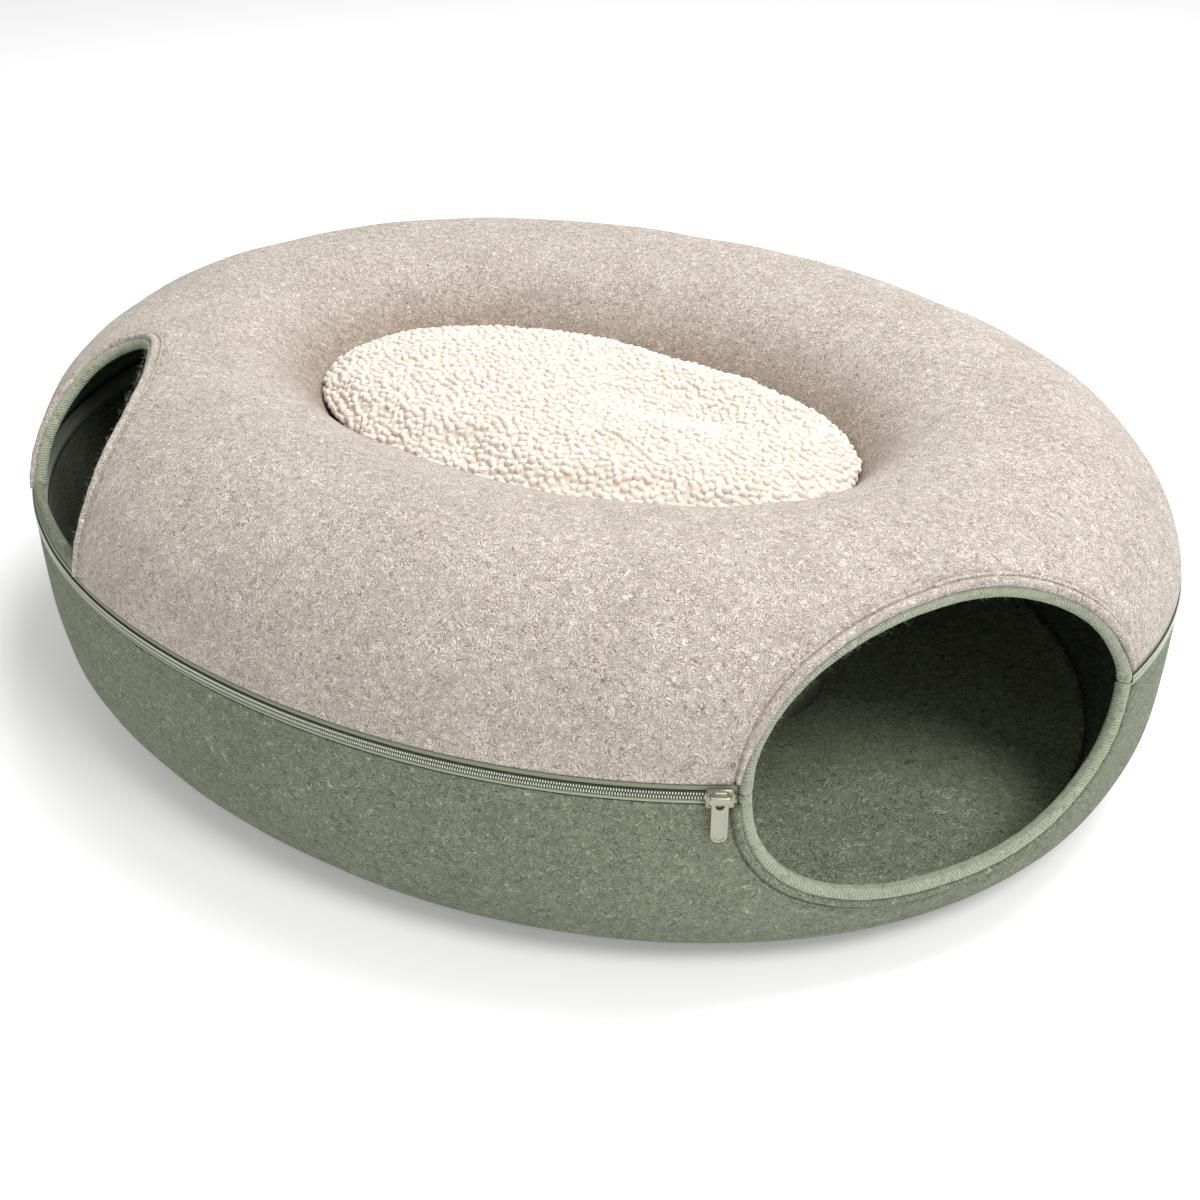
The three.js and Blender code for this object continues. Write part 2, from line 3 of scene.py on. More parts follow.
import bmesh
import bpy
import numpy as np
from mathutils import Matrix, Vector


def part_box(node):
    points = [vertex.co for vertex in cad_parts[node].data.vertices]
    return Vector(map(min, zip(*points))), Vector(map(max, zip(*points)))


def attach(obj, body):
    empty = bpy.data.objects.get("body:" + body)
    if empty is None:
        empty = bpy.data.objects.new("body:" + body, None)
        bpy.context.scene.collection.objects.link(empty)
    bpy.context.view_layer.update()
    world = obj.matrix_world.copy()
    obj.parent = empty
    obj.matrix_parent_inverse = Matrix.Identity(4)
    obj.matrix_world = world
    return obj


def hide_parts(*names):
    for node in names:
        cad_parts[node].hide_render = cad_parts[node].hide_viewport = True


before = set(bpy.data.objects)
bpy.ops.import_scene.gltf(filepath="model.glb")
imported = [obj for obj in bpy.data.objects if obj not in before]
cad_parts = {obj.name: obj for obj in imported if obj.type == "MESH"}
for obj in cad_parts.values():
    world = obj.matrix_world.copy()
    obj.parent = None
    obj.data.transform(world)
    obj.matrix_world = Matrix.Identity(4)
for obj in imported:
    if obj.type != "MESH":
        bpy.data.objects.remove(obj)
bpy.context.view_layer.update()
MM = 0.001

# Driving sizes of the bed in millimetres, as in the solids
LENGTH = 700
WIDTH = 572
HEIGHT = 192
ZIP_HEIGHT = 115
OUTLINE_POWER = 2.07
CROWN_INSET = 87
ROLL_POWER = 1.83
WELL_REACH = 108
WELL_DROP = 117
WELL_POWER = 2.33
FOOT_INSET = 82
BOWL_POWER = 3.88
WELL_SKEW = 0.065
WELL_SKEW_TURN = 38
SHELL_CLOTH = 3
LINING_CLOTH = 2
BOWL_CLOTH = 5
FLOOR_CLOTH = 4
GAP = 0.3
WELL_INSET = CROWN_INSET + WELL_REACH
FLOOR_TOP = BOWL_CLOTH + GAP + FLOOR_CLOTH
WELL_FOOT = FLOOR_TOP + GAP

# Zip, bindings and hems
CHAIN_HALF = 2.2
TAPE_TOP = 5.1
TAPE_FOOT = -4.4
TAPE_FRONT = 0.5
TAPE_CLOTH = 1.5
TAPE_HIDDEN = 5.3
UPPER_EDGE = TAPE_TOP + 0.6
LOWER_EDGE = TAPE_FOOT - 0.5
LINING_EDGE = UPPER_EDGE + TAPE_HIDDEN
BINDING_WIDTH = 7
BINDING_HEIGHT = 8
BINDING_DEPTH = (SHELL_CLOTH + GAP + LINING_CLOTH) / 2
CUT_ASIDE = BINDING_WIDTH / 2 + GAP
SILL_TOP = UPPER_EDGE + 7.3
ZIP_START = -1.38
CHAIN_END = 320.8
TAPE_END = 321.25
SLIDER_TURN = 319.95


# Outline and cross-section


def unit(vectors):
    return vectors / np.linalg.norm(vectors, axis=-1, keepdims=True)


def outline(turn):
    """Points on the widest line and the way out of it, at turns in degrees."""
    half = np.array([LENGTH / 2, WIDTH / 2])
    ray = np.stack([np.cos(np.radians(turn)), np.sin(np.radians(turn))], -1)
    size = (np.abs(ray / half) ** OUTLINE_POWER).sum(-1) ** (-1 / OUTLINE_POWER)
    point = ray * size[..., None]
    slope = np.sign(point) * np.abs(point / half) ** (OUTLINE_POWER - 1) / half
    return point, unit(slope)


def place(turn, inset, height):
    point, normal = outline(turn)
    past_crown = np.maximum(0, inset - CROWN_INSET)
    skew = -WELL_SKEW * np.cos(np.radians(2 * (turn - WELL_SKEW_TURN)))
    flat = point - (inset + past_crown * skew)[..., None] * normal
    return np.concatenate([flat, height[..., None]], -1)


def corner(share, power):
    """A quarter turn of a rounded corner, from (0, 0) to (1, 1)."""
    angle = share * math.pi / 2
    return 1 - np.cos(angle) ** (2 / power), np.sin(angle) ** (2 / power)


def measured(inset, height):
    steps = np.hypot(np.diff(inset), np.diff(height))
    return np.concatenate([[0], np.cumsum(steps)]), inset, height


CORNER_STEPS = 800
ROLL_RISE = HEIGHT - ZIP_HEIGHT
shares = np.linspace(0, 1, CORNER_STEPS + 1)
roll_over, roll_up = corner(shares, ROLL_POWER)
well_back, well_down = corner(1 - shares, WELL_POWER)
bowl_under, bowl_down = corner(shares, BOWL_POWER)
upper_face = measured(
    np.concatenate([CROWN_INSET * roll_over, (WELL_INSET - WELL_REACH * well_back)[1:], [WELL_INSET]]),
    np.concatenate([ZIP_HEIGHT + ROLL_RISE * roll_up, HEIGHT - WELL_DROP * (1 - well_down[1:]), [WELL_FOOT]]),
)
lower_face = measured(FOOT_INSET * bowl_under, ZIP_HEIGHT * (1 - bowl_down))
WELL_FOOT_ALONG = upper_face[0][-1]
CROWN_ALONG = upper_face[0][CORNER_STEPS]
FOOT_ALONG = lower_face[0][-1]


def face_at(along):
    """The inset and height of the felt's face at distances from the zip line, negative below it."""
    return [
        np.where(along >= 0, np.interp(along, upper_face[0], upper), np.interp(-along, lower_face[0], lower))
        for upper, lower in zip(upper_face[1:], lower_face[1:])
    ]


def fade(distance, over):
    return np.clip(distance / over, 0, 1)


# Waves in the felt, each with its height, its count round the bed, its slant and its start
SWELLS = ((0.30, 7, 0.031, 0.4), (0.26, 11, -0.047, 2.1), (0.22, 17, 0.068, 4.0), (0.16, 27, -0.09, 1.1))


def swell(turn, along):
    """How far the felt stands proud of its even form, where it is neither sewn nor pressed."""
    angle = np.radians(turn)
    waves = sum(high * np.sin(count * angle + slant * along + start) for high, count, slant, start in SWELLS)
    above = fade(along - 8, 34) * fade(255 - along, 60)
    below = fade(-along - 8, 30) * fade(118 + along, 40)
    return waves * np.where(along >= 0, above, below)


def cloth(turn, along, depth):
    """A point at a turn, a distance along the cloth from the zip line, and a depth into it."""
    turn, along, depth = np.broadcast_arrays(
        np.asarray(turn, float), np.asarray(along, float), np.asarray(depth, float)
    )
    inset, height = face_at(along)
    before = face_at(np.clip(along - 2, -FOOT_ALONG, WELL_FOOT_ALONG))
    after = face_at(np.clip(along + 2, -FOOT_ALONG, WELL_FOOT_ALONG))
    across, rise = after[0] - before[0], after[1] - before[1]
    length = np.hypot(across, rise)
    deep = depth - swell(turn, along)
    return place(turn, inset + deep * rise / length, height - deep * across / length)


def base(turn, along, depth):
    """The bowl's face, carried on past its foot to the middle of its flat base."""
    foot = cloth(turn, np.maximum(along, -FOOT_ALONG), depth)
    share = fade(-along - FOOT_ALONG, 200)
    return foot * np.stack([1 - share, 1 - share, np.ones_like(share)], -1)


# Mouth lines, as turns and distances along the cloth


LINE_POINTS = 261


def arch_line(middle, ahead, behind, rise, power):
    angle = np.linspace(0, math.pi, LINE_POINTS)
    side = np.cos(angle)
    reach = np.abs(side) ** (2 / power) * np.where(side > 0, ahead, -behind)
    return np.stack([middle + reach, rise * np.clip(np.sin(angle), 0, 1) ** (2 / power)], -1)


def left_line(middle, ahead, rise, bulge, tuck):
    angle = np.linspace(0, math.pi, LINE_POINTS)
    side = np.cos(angle)
    far = bulge * np.sin(2 * angle) + tuck * side**2
    turn = middle + np.where(side > 0, ahead * side, far)
    return np.stack([turn, rise * np.clip(np.sin(angle), 0, 1)], -1)


def even(line, step):
    """The line with its points at even steps, in millimetres."""
    points = cloth(line[:, 0], line[:, 1], 0)
    length = np.concatenate([[0], np.cumsum(np.linalg.norm(np.diff(points, axis=0), axis=1))])
    at = np.linspace(0, length[-1], max(3, int(length[-1] / step) + 1))
    return np.stack([np.interp(at, length, line[:, i]) for i in (0, 1)], -1)


def frames_of(line, depth):
    """Points of a line at a depth, with the way out of the cloth and the way aside."""
    at = cloth(line[:, 0], line[:, 1], depth)
    course = unit(np.gradient(at, axis=0))
    outward = cloth(line[:, 0], line[:, 1], depth - 1) - at
    outward = unit(outward - (outward * course).sum(-1, keepdims=True) * course)
    return at, outward, np.cross(course, outward)


def widened(line, distance):
    turn, along = line[:, 0], line[:, 1]
    at, _, aside = frames_of(line, 0)
    per_turn = (cloth(turn + 0.5, along, 0) - at) / 0.5
    per_along = (cloth(turn, along + 0.5, 0) - at) / 0.5

    def share(per):
        return distance * (aside * per).sum(-1) / (per**2).sum(-1)

    return np.stack([turn + share(per_turn), along + share(per_along)], -1)


def beyond(line, limit):
    """The part of a line past a distance along the cloth, ending exactly there."""
    inside = np.flatnonzero((line[:, 1] - limit) * np.sign(limit) > 0)
    first, last = inside[0], inside[-1]

    def crossing(a, b):
        share = (limit - line[a, 1]) / (line[b, 1] - line[a, 1])
        return [line[a, 0] + (line[b, 0] - line[a, 0]) * share, limit]

    return np.vstack([crossing(first - 1, first), line[first : last + 1], crossing(last, last + 1)])


right_arch = arch_line(342, 16, 20.1, 79, 2)
right_curve = arch_line(337, 21, 15.1, -69, 2.3)
left_arch = left_line(219, 26, 117, 7, 6)


def closed_cut(line, distance, foot):
    """A closed outline round a mouth, with its feet past the cloth's edge."""
    wide = widened(line, distance)
    return np.vstack([[wide[0, 0], foot], wide[1:-1], [wide[-1, 0], foot]])


def mouth_cuts(distance):
    """The outlines that open the upper cloths, a distance off the lines of both mouths."""
    return [closed_cut(line, distance, -6) for line in (right_arch, left_arch)]


# Meshes

# The radius of the patterns' drum, about how far one degree is round the bed, and a distance
# past any that matters to a cut
DRUM = 320
DEGREE = 5.4
FAR = 50.0


def new_piece(name, points, faces, material, cloth_at=None):
    """A mesh piece from points in millimetres. cloth_at gives the pattern's coordinates."""
    mesh = bpy.data.meshes.new(name)
    mesh.from_pydata((np.asarray(points) * MM).tolist(), [], [list(face) for face in faces])
    if cloth_at is not None:
        attribute = mesh.attributes.new("cloth", "FLOAT_VECTOR", "POINT")
        attribute.data.foreach_set("vector", (np.asarray(cloth_at) * MM).astype(np.float32).ravel())
    mesh.validate()
    mesh.shade_smooth()
    mesh.materials.append(material)
    piece = bpy.data.objects.new(name, mesh)
    bpy.context.scene.collection.objects.link(piece)
    return piece


def on_drum(turn, along):
    """Pattern coordinates on a drum as wide as the bed, so that a pattern has no seam."""
    angle = np.radians(turn)
    return np.stack([DRUM * np.cos(angle), DRUM * np.sin(angle), along], -1)


def signed_distance(turn, along, outline_points):
    """Distance in the cloth from a closed outline, in millimetres, negative inside it."""
    middle = outline_points[:, 0].mean()
    u = ((turn - middle + 180) % 360 - 180) * DEGREE
    ring = np.stack([(outline_points[:, 0] - middle) * DEGREE, outline_points[:, 1]], -1)
    far = np.full(u.shape, FAR)
    low, high = ring.min(0) - 15, ring.max(0) + 15
    near = (u > low[0]) & (u < high[0]) & (along > low[1]) & (along < high[1])
    p = np.stack([u[near], along[near]], -1)
    a, b = ring, np.roll(ring, -1, axis=0)
    edge = b - a
    keep = (edge**2).sum(-1) > 1e-12
    a, b, edge = a[keep], b[keep], edge[keep]
    offset = p[:, None, :] - a[None]
    share = np.clip((offset * edge).sum(-1) / (edge**2).sum(-1), 0, 1)
    gap = np.linalg.norm(offset - share[..., None] * edge, axis=-1).min(1)
    crosses = (a[None, :, 1] > p[:, None, 1]) != (b[None, :, 1] > p[:, None, 1])
    rise = np.where(np.abs(edge[:, 1]) < 1e-12, 1e-12, edge[:, 1])
    cross_u = a[None, :, 0] + (p[:, None, 1] - a[None, :, 1]) / rise * edge[None, :, 0]
    inside = ((crosses & (p[:, None, 0] < cross_u)).sum(1) % 2) == 1
    far[near] = np.where(inside, -gap, gap)
    return far


def cut_grid(columns, alongs, cuts):
    """A grid round the bed with mouths cut out. Its points are drawn to the cuts' outlines."""
    turns = np.arange(columns) * 360 / columns
    turn, along = np.meshgrid(turns, alongs, indexing="ij")
    away = np.full(turn.shape, FAR)
    for ring in cuts:
        away = np.minimum(away, signed_distance(turn, along, ring))
    best = np.full(turn.shape, 9.0)
    new_turn, new_along = turn.copy(), along.copy()
    for step in ((1, 0), (0, 1)):
        other_turn = np.roll(turn, -1, 0) if step[0] else np.roll(turn, -1, 1)
        other_along = along if step[0] else np.roll(along, -1, 1)
        other_away = np.roll(away, -1, 0) if step[0] else np.roll(away, -1, 1)
        other_turn = np.where(other_turn < turn - 180, other_turn + 360, other_turn)
        crossing = away * other_away < 0
        if step[1]:
            crossing[:, -1] = False
        i, j = np.nonzero(crossing)
        share = away[i, j] / (away[i, j] - other_away[i, j])
        cut_turn = turn[i, j] + (other_turn[i, j] - turn[i, j]) * share
        cut_along = along[i, j] + (other_along[i, j] - along[i, j]) * share
        for k in range(len(i)):
            near_other = share[k] > 0.5
            a = (i[k] + step[0] * near_other) % columns
            b = j[k] + step[1] * near_other
            move = min(share[k], 1 - share[k])
            if move < best[a, b]:
                best[a, b] = move
                new_turn[a, b], new_along[a, b] = cut_turn[k], cut_along[k]
    away = np.where(best < 1, 0, away)
    faces = []
    rows = len(alongs)
    for i in range(columns):
        n = (i + 1) % columns
        corners_i = (i, n, n, i)
        for j in range(rows - 1):
            corners_j = (j, j, j + 1, j + 1)
            values = [away[a, b] for a, b in zip(corners_i, corners_j)]
            keep = [k for k in range(4) if values[k] >= 0]
            if len(keep) < 3 or max(values) <= 0:
                continue
            faces.append([corners_i[k] * rows + corners_j[k] for k in keep])
    return new_turn.ravel(), new_along.ravel(), faces


def without_spares(turn, along, faces):
    """Leaves out the points that no face uses."""
    used = np.unique(np.concatenate([np.asarray(face) for face in faces]))
    index = np.full(len(turn), -1)
    index[used] = np.arange(len(used))
    return turn[used], along[used], [[int(index[i]) for i in face] for face in faces]


def two_sided(outer, inner, faces):
    """Points and faces of both sides of a cloth and of its edges."""
    count = len(outer)
    edges = {}
    for face in faces:
        for a, b in zip(face, face[1:] + face[:1]):
            edges[(a, b)] = edges.get((a, b), 0) + 1
    rim = [(a, b) for a, b in edges if (b, a) not in edges]
    walls = [[b, a, a + count, b + count] for a, b in rim]
    back = [[i + count for i in reversed(face)] for face in faces]
    return np.vstack([outer, inner]), faces + back + walls


def felt_sheet(name, columns, alongs, cuts, outer, inner, material, form=cloth):
    turn, along, faces = without_spares(*cut_grid(columns, alongs, cuts))
    both, faces = two_sided(form(turn, along, outer), form(turn, along, inner), faces)
    drum = on_drum(turn, along)
    return new_piece(name, both, faces, material, np.vstack([drum, drum]))


def loop_faces(rows, count):
    """Faces between rows of equally many points, with the last row joined to the first."""
    faces = []
    for r in range(rows):
        n = (r + 1) % rows
        for i in range(count - 1):
            faces.append([r * count + i, n * count + i, n * count + i + 1, r * count + i + 1])
    return faces


def ring_faces(first, rings, sides):
    """Faces between closed rings of points, from the index of the first point."""
    faces = []
    for ring in range(rings - 1):
        a, b = first + ring * sides, first + (ring + 1) * sides
        for i in range(sides):
            n = (i + 1) % sides
            faces.append([a + i, a + n, b + n, b + i])
    return faces


def capped_faces(first, rings, sides):
    """The same, with a face over each end."""
    last = first + (rings - 1) * sides
    ends = [list(range(first, first + sides))[::-1], list(range(last, last + sides))]
    return ring_faces(first, rings, sides) + ends


def tube(name, at, outward, aside, section, material, wide, high, wall):
    """A hollow section carried along a line, with its size at each place and the thickness of
    its wall. The section is [aside, outward]."""
    count, sides = len(at), len(section)
    length = np.concatenate([[0], np.cumsum(np.linalg.norm(np.diff(at, axis=0), axis=1))])
    points = []
    for inner in (section, section * (1 - wall / section.max(0))):
        ring = (
            at[:, None]
            + aside[:, None] * (inner[None, :, 0] * wide[:, None])[..., None]
            + outward[:, None] * (inner[None, :, 1] * high[:, None])[..., None]
        )
        points.append(ring.reshape(-1, 3))
    shift = count * sides
    last = (count - 1) * sides
    faces = ring_faces(0, count, sides)
    faces = faces + [[shift + i for i in face[:1] + face[:0:-1]] for face in faces]
    for i in range(sides):
        n = (i + 1) % sides
        faces.append([n, i, shift + i, shift + n])
        faces.append([last + i, last + n, shift + last + n, shift + last + i])
    girth = np.linspace(0, 2 * math.pi * np.abs(section).mean(), sides)
    pattern = np.stack([np.repeat(length, sides), np.tile(girth, count), np.zeros(shift)], -1)
    piece = new_piece(name, np.vstack(points), faces, material, np.vstack([pattern, pattern]))
    face_outwards(piece)
    return piece


def face_outwards(piece):
    mesh = piece.data
    shape = bmesh.new()
    shape.from_mesh(mesh)
    bmesh.ops.recalc_face_normals(shape, faces=shape.faces)
    if shape.calc_volume(signed=True) < 0:
        bmesh.ops.reverse_faces(shape, faces=shape.faces)
    shape.to_mesh(mesh)
    shape.free()


def pick(*pieces):
    """Selects these pieces alone, with the first one active."""
    bpy.ops.object.select_all(action="DESELECT")
    for piece in pieces:
        piece.select_set(True)
    bpy.context.view_layer.objects.active = pieces[0]


def joined(name, pieces):
    """One piece made of several, in the first one's place."""
    pick(*pieces)
    bpy.ops.object.join()
    pieces[0].name = name
    pieces[0].data.name = name
    return pieces[0]


def oval(width, height, sides):
    angle = 2 * math.pi * (np.arange(sides) + 0.5) / sides
    return np.stack([width / 2 * np.cos(angle), height / 2 * np.sin(angle)], -1)


# Materials


def linear(colour):
    """A screen colour from 0 to 255, as Blender's linear colour."""
    values = [v / 255 for v in colour]
    values = [v / 12.92 if v <= 0.04045 else ((v + 0.055) / 1.055) ** 2.4 for v in values]
    return (*values, 1)


class Nodes:
    """Places nodes in a tree and joins them by name."""

    def __init__(self, tree):
        self.tree = tree
        self.tree.nodes.clear()

    def add(self, kind, settings=None, **inputs):
        node = self.tree.nodes.new(kind)
        for key, value in (settings or {}).items():
            setattr(node, key, value)
        for key, value in inputs.items():
            self.set(node, key.replace("_", " "), value)
        return node

    def set(self, node, key, value):
        """Joins a socket to an input, or sets the input to a plain value."""
        if isinstance(value, bpy.types.NodeSocket):
            self.tree.links.new(value, node.inputs[key])
        else:
            node.inputs[key].default_value = value

    def math(self, operation, *values):
        node = self.add("ShaderNodeMath", {"operation": operation})
        for index, value in enumerate(values):
            self.set(node, index, value)
        return node.outputs[0]

    def mix(self, share, a, b, kind="MIX"):
        node = self.add("ShaderNodeMix", {"data_type": "RGBA", "blend_type": kind})
        for index, value in ((0, share), (6, a), (7, b)):
            self.set(node, index, value)
        return node.outputs[2]

    def ramp(self, value, low, high, to_low=0.0, to_high=1.0):
        node = self.add("ShaderNodeMapRange", {"interpolation_type": "SMOOTHSTEP"}, Value=value)
        for key, number in (("From Min", low), ("From Max", high), ("To Min", to_low), ("To Max", to_high)):
            self.set(node, key, number)
        return node.outputs["Result"]


def group(name, outputs):
    """A node group of a vector and a fineness, with these outputs."""
    tree = bpy.data.node_groups.new(name, "ShaderNodeTree")
    tree.interface.new_socket("Vector", in_out="INPUT", socket_type="NodeSocketVector")
    fineness_in = tree.interface.new_socket("Fineness", in_out="INPUT", socket_type="NodeSocketFloat")
    fineness_in.default_value = 1.0
    for key in outputs:
        tree.interface.new_socket(key, in_out="OUTPUT", socket_type="NodeSocketFloat")
    nodes = Nodes(tree)
    return tree, nodes, nodes.add("NodeGroupInput"), nodes.add("NodeGroupOutput")


def nap_group():
    """A curly nap: threads where a bent noise crosses set values, in patches of two sizes."""
    tree, n, given, out = group(
        "Curly nap",
        ["Threads", "Dark threads", "Clumps", "Patches"],
    )
    at = n.add("ShaderNodeVectorMath", {"operation": "SCALE"})
    n.set(at, 0, given.outputs["Vector"])
    n.set(at, "Scale", given.outputs["Fineness"])

    def curls(scale, count, shift, softness):
        moved = n.add("ShaderNodeVectorMath", {"operation": "ADD"})
        n.set(moved, 0, at.outputs[0])
        n.set(moved, 1, (shift, shift * 0.6, shift * 1.3))
        noise = n.add(
            "ShaderNodeTexNoise",
            Vector=moved.outputs[0],
            Scale=scale,
            Detail=0.2,
            Roughness=0.5,
            Distortion=1.1,
        )
        wave = n.math("PINGPONG", n.math("MULTIPLY", noise.outputs[0], count), 0.5)
        return n.ramp(wave, 0.5 - softness, 0.5)

    patches = n.add("ShaderNodeTexNoise", Vector=at.outputs[0], Scale=150.0, Detail=2.0)
    clumps = n.add("ShaderNodeTexNoise", Vector=at.outputs[0], Scale=190.0, Detail=3.0, Roughness=0.6)
    long_curls = curls(120.0, 9.0, 0.0, 0.28)
    short_curls = curls(150.0, 7.6, 3.7, 0.26)
    picked = n.ramp(patches.outputs[0], 0.46, 0.54)
    kept = n.math("MULTIPLY", long_curls, n.math("SUBTRACT", 1.0, picked))
    n.set(out, "Threads", n.math("MULTIPLY_ADD", short_curls, picked, kept))
    n.set(out, "Dark threads", curls(150.0, 6.8, 8.3, 0.24))
    n.set(out, "Clumps", clumps.outputs[0])
    n.set(out, "Patches", patches.outputs[0])
    return tree


curly_nap = nap_group()


def new_material(name):
    material = bpy.data.materials.new(name)
    material.use_nodes = True
    n = Nodes(material.node_tree)
    shader = n.add("ShaderNodeBsdfPrincipled")
    output = n.add("ShaderNodeOutputMaterial")
    n.set(output, "Surface", shader.outputs[0])
    return material, n, shader


def nap(n, vector, fineness):
    node = n.add("ShaderNodeGroup", {"node_tree": curly_nap})
    n.set(node, "Vector", vector)
    n.set(node, "Fineness", fineness)
    return node.outputs


def blend(a, b, share):
    """The colour part of the way from one to the other."""
    return (*[p + (q - p) * share for p, q in zip(a[:3], b[:3])], 1)


def cloth_parts(n):
    """A cloth's pattern coordinates, whole and in their three parts."""
    pattern = n.add("ShaderNodeAttribute", {"attribute_name": "cloth"}).outputs["Vector"]
    parts = n.add("ShaderNodeSeparateXYZ")
    n.set(parts, 0, pattern)
    return pattern, parts.outputs


def coat(n, shader, colour, height, strength, distance, **even_values):
    """Joins a colour and a relief to the shader, and sets what is the same all over."""
    n.set(shader, "Base Color", colour)
    for key, value in even_values.items():
        shader.inputs[key.replace("_", " ")].default_value = value
    relief = n.add("ShaderNodeBump", Strength=strength, Distance=distance, Height=height)
    n.set(shader, "Normal", relief.outputs[0])


# Where along the cloth the felt in the well begins to darken with painted shade, and where the painted shade
# is deepest
WELL_SHADE = ((CROWN_ALONG + 54) * MM, (CROWN_ALONG + 100) * MM)


def felt(name, *colours, well_shade=None, fineness=1.6, bump=0.8):
    """Felt of mixed fibres: pale and dark curls over its ground, clouded, with a raised nap.
    The colours are its ground, pale fibres, dark fibres and specks. The colour given for the well multiplies
    painted shade into the felt low in the well, round the cushion."""
    ground, pale, dark, speck = [linear(colour) for colour in colours]
    material, n, shader = new_material(name)
    at = n.add("ShaderNodeTexCoord").outputs["Object"]
    fibres = nap(n, at, fineness)
    cloud = n.add("ShaderNodeTexNoise", Vector=at, Scale=34.0, Detail=5.0, Roughness=0.65)
    colour = n.mix(n.ramp(cloud.outputs[0], 0.38, 0.64), ground, blend(ground, dark, 0.18))
    colour = n.mix(n.ramp(fibres["Clumps"], 0.5, 0.68, 0.0, 0.3), colour, dark)
    shown = n.ramp(fibres["Clumps"], 0.72, 0.38, 0.4, 0.7)
    colour = n.mix(n.math("MULTIPLY", fibres["Threads"], shown), colour, pale)
    sunk = n.math("MULTIPLY", fibres["Dark threads"], n.ramp(fibres["Patches"], 0.38, 0.62, 0.3, 0.8))
    colour = n.mix(sunk, colour, dark)
    dots = n.add("ShaderNodeTexNoise", Vector=at, Scale=330.0, Detail=2.0, Roughness=0.5)
    colour = n.mix(n.ramp(dots.outputs[0], 0.66, 0.74, 0.0, 0.5), colour, speck)
    # Painted shade: the felt darkens deep in the well, where the cushion and the walls shade it
    if well_shade:
        along = cloth_parts(n)[1][2]
        colour = n.mix(n.ramp(along, *WELL_SHADE, 0.0, 0.5), colour, linear(well_shade), "MULTIPLY")
    height = n.math("MULTIPLY_ADD", fibres["Dark threads"], -0.6, fibres["Threads"])
    even_values = {"Roughness": 0.95, "Sheen_Weight": 0.15, "Sheen_Roughness": 0.6}
    coat(n, shader, colour, height, bump, 0.0009, Specular_IOR_Level=0.12, **even_values)
    return material


def ribbed(name, *colours, rib=1.5, strength=0.6):
    """Binding cloth with fine slanting ribs across it, in a ground, a pale and a dark colour."""
    ground, pale, dark = [linear(colour) for colour in colours]
    material, n, shader = new_material(name)
    pattern, parts = cloth_parts(n)
    wander = n.add("ShaderNodeTexNoise", Vector=pattern, Scale=180.0, Detail=2.0)
    along = n.math("MULTIPLY_ADD", n.math("SUBTRACT", wander.outputs[0], 0.5), rib * MM * 1.6, parts[0])
    slant = n.math("MULTIPLY_ADD", parts[1], 0.45, along)
    wave = n.math("SINE", n.math("MULTIPLY", slant, 2 * math.pi / (rib * MM)))
    ribs = n.math("MULTIPLY_ADD", wave, 0.5, 0.5)
    threads = nap(n, n.add("ShaderNodeTexCoord").outputs["Object"], 1.5)
    colour = n.mix(n.math("MULTIPLY", ribs, 0.3), ground, pale)
    colour = n.mix(n.ramp(ribs, 0.35, 0.0, 0.0, 0.42), colour, dark)
    colour = n.mix(n.math("MULTIPLY", threads["Threads"], 0.5), colour, pale)
    colour = n.mix(n.ramp(threads["Clumps"], 0.5, 0.7, 0.0, 0.4), colour, dark)
    height = n.math("MULTIPLY_ADD", threads["Threads"], 0.3, ribs)
    coat(n, shader, colour, height, strength, 0.0008, Roughness=0.9, Sheen_Weight=0.2)
    return material


def woven_tape(name, *colours):
    """Smooth zip tape with a fine slanting weave, in a ground, a pale and a dark colour."""
    ground, pale, dark = [linear(colour) for colour in colours]
    material, n, shader = new_material(name)
    _, parts = cloth_parts(n)
    slant = n.math("MULTIPLY_ADD", parts[1], 0.8, parts[0])
    cross = n.math("SINE", n.math("MULTIPLY", slant, 2 * math.pi / (0.6 * MM)))
    length = n.math("SINE", n.math("MULTIPLY", parts[1], 2 * math.pi / (0.45 * MM)))
    weave = n.math("MULTIPLY_ADD", n.math("ADD", cross, length), 0.25, 0.5)
    colour = n.mix(n.ramp(weave, 0.5, 0.9, 0.0, 0.5), ground, pale)
    colour = n.mix(n.ramp(weave, 0.4, 0.1, 0.0, 0.45), colour, dark)
    coat(n, shader, colour, weave, 0.35, 0.0003, Roughness=0.7, Sheen_Weight=0.15)
    return material


def grained(name, ground, other, roughness, metallic=0.0, scale=900.0, share=0.4, bump=0.1, sheen=0.0):
    """A hard or soft finish with a fine uneven grain of two colours."""
    material, n, shader = new_material(name)
    at = n.add("ShaderNodeTexCoord").outputs["Object"]
    grain = n.add("ShaderNodeTexNoise", Vector=at, Scale=scale, Detail=4.0, Roughness=0.6).outputs[0]
    colour = n.mix(n.ramp(grain, 0.35, 0.7, 0.0, share), linear(ground), linear(other))
    n.set(shader, "Roughness", n.ramp(grain, 0.3, 0.7, roughness - 0.06, roughness + 0.06))
    coat(n, shader, colour, grain, bump, 0.0002, Metallic=metallic, Sheen_Weight=sheen)
    return material
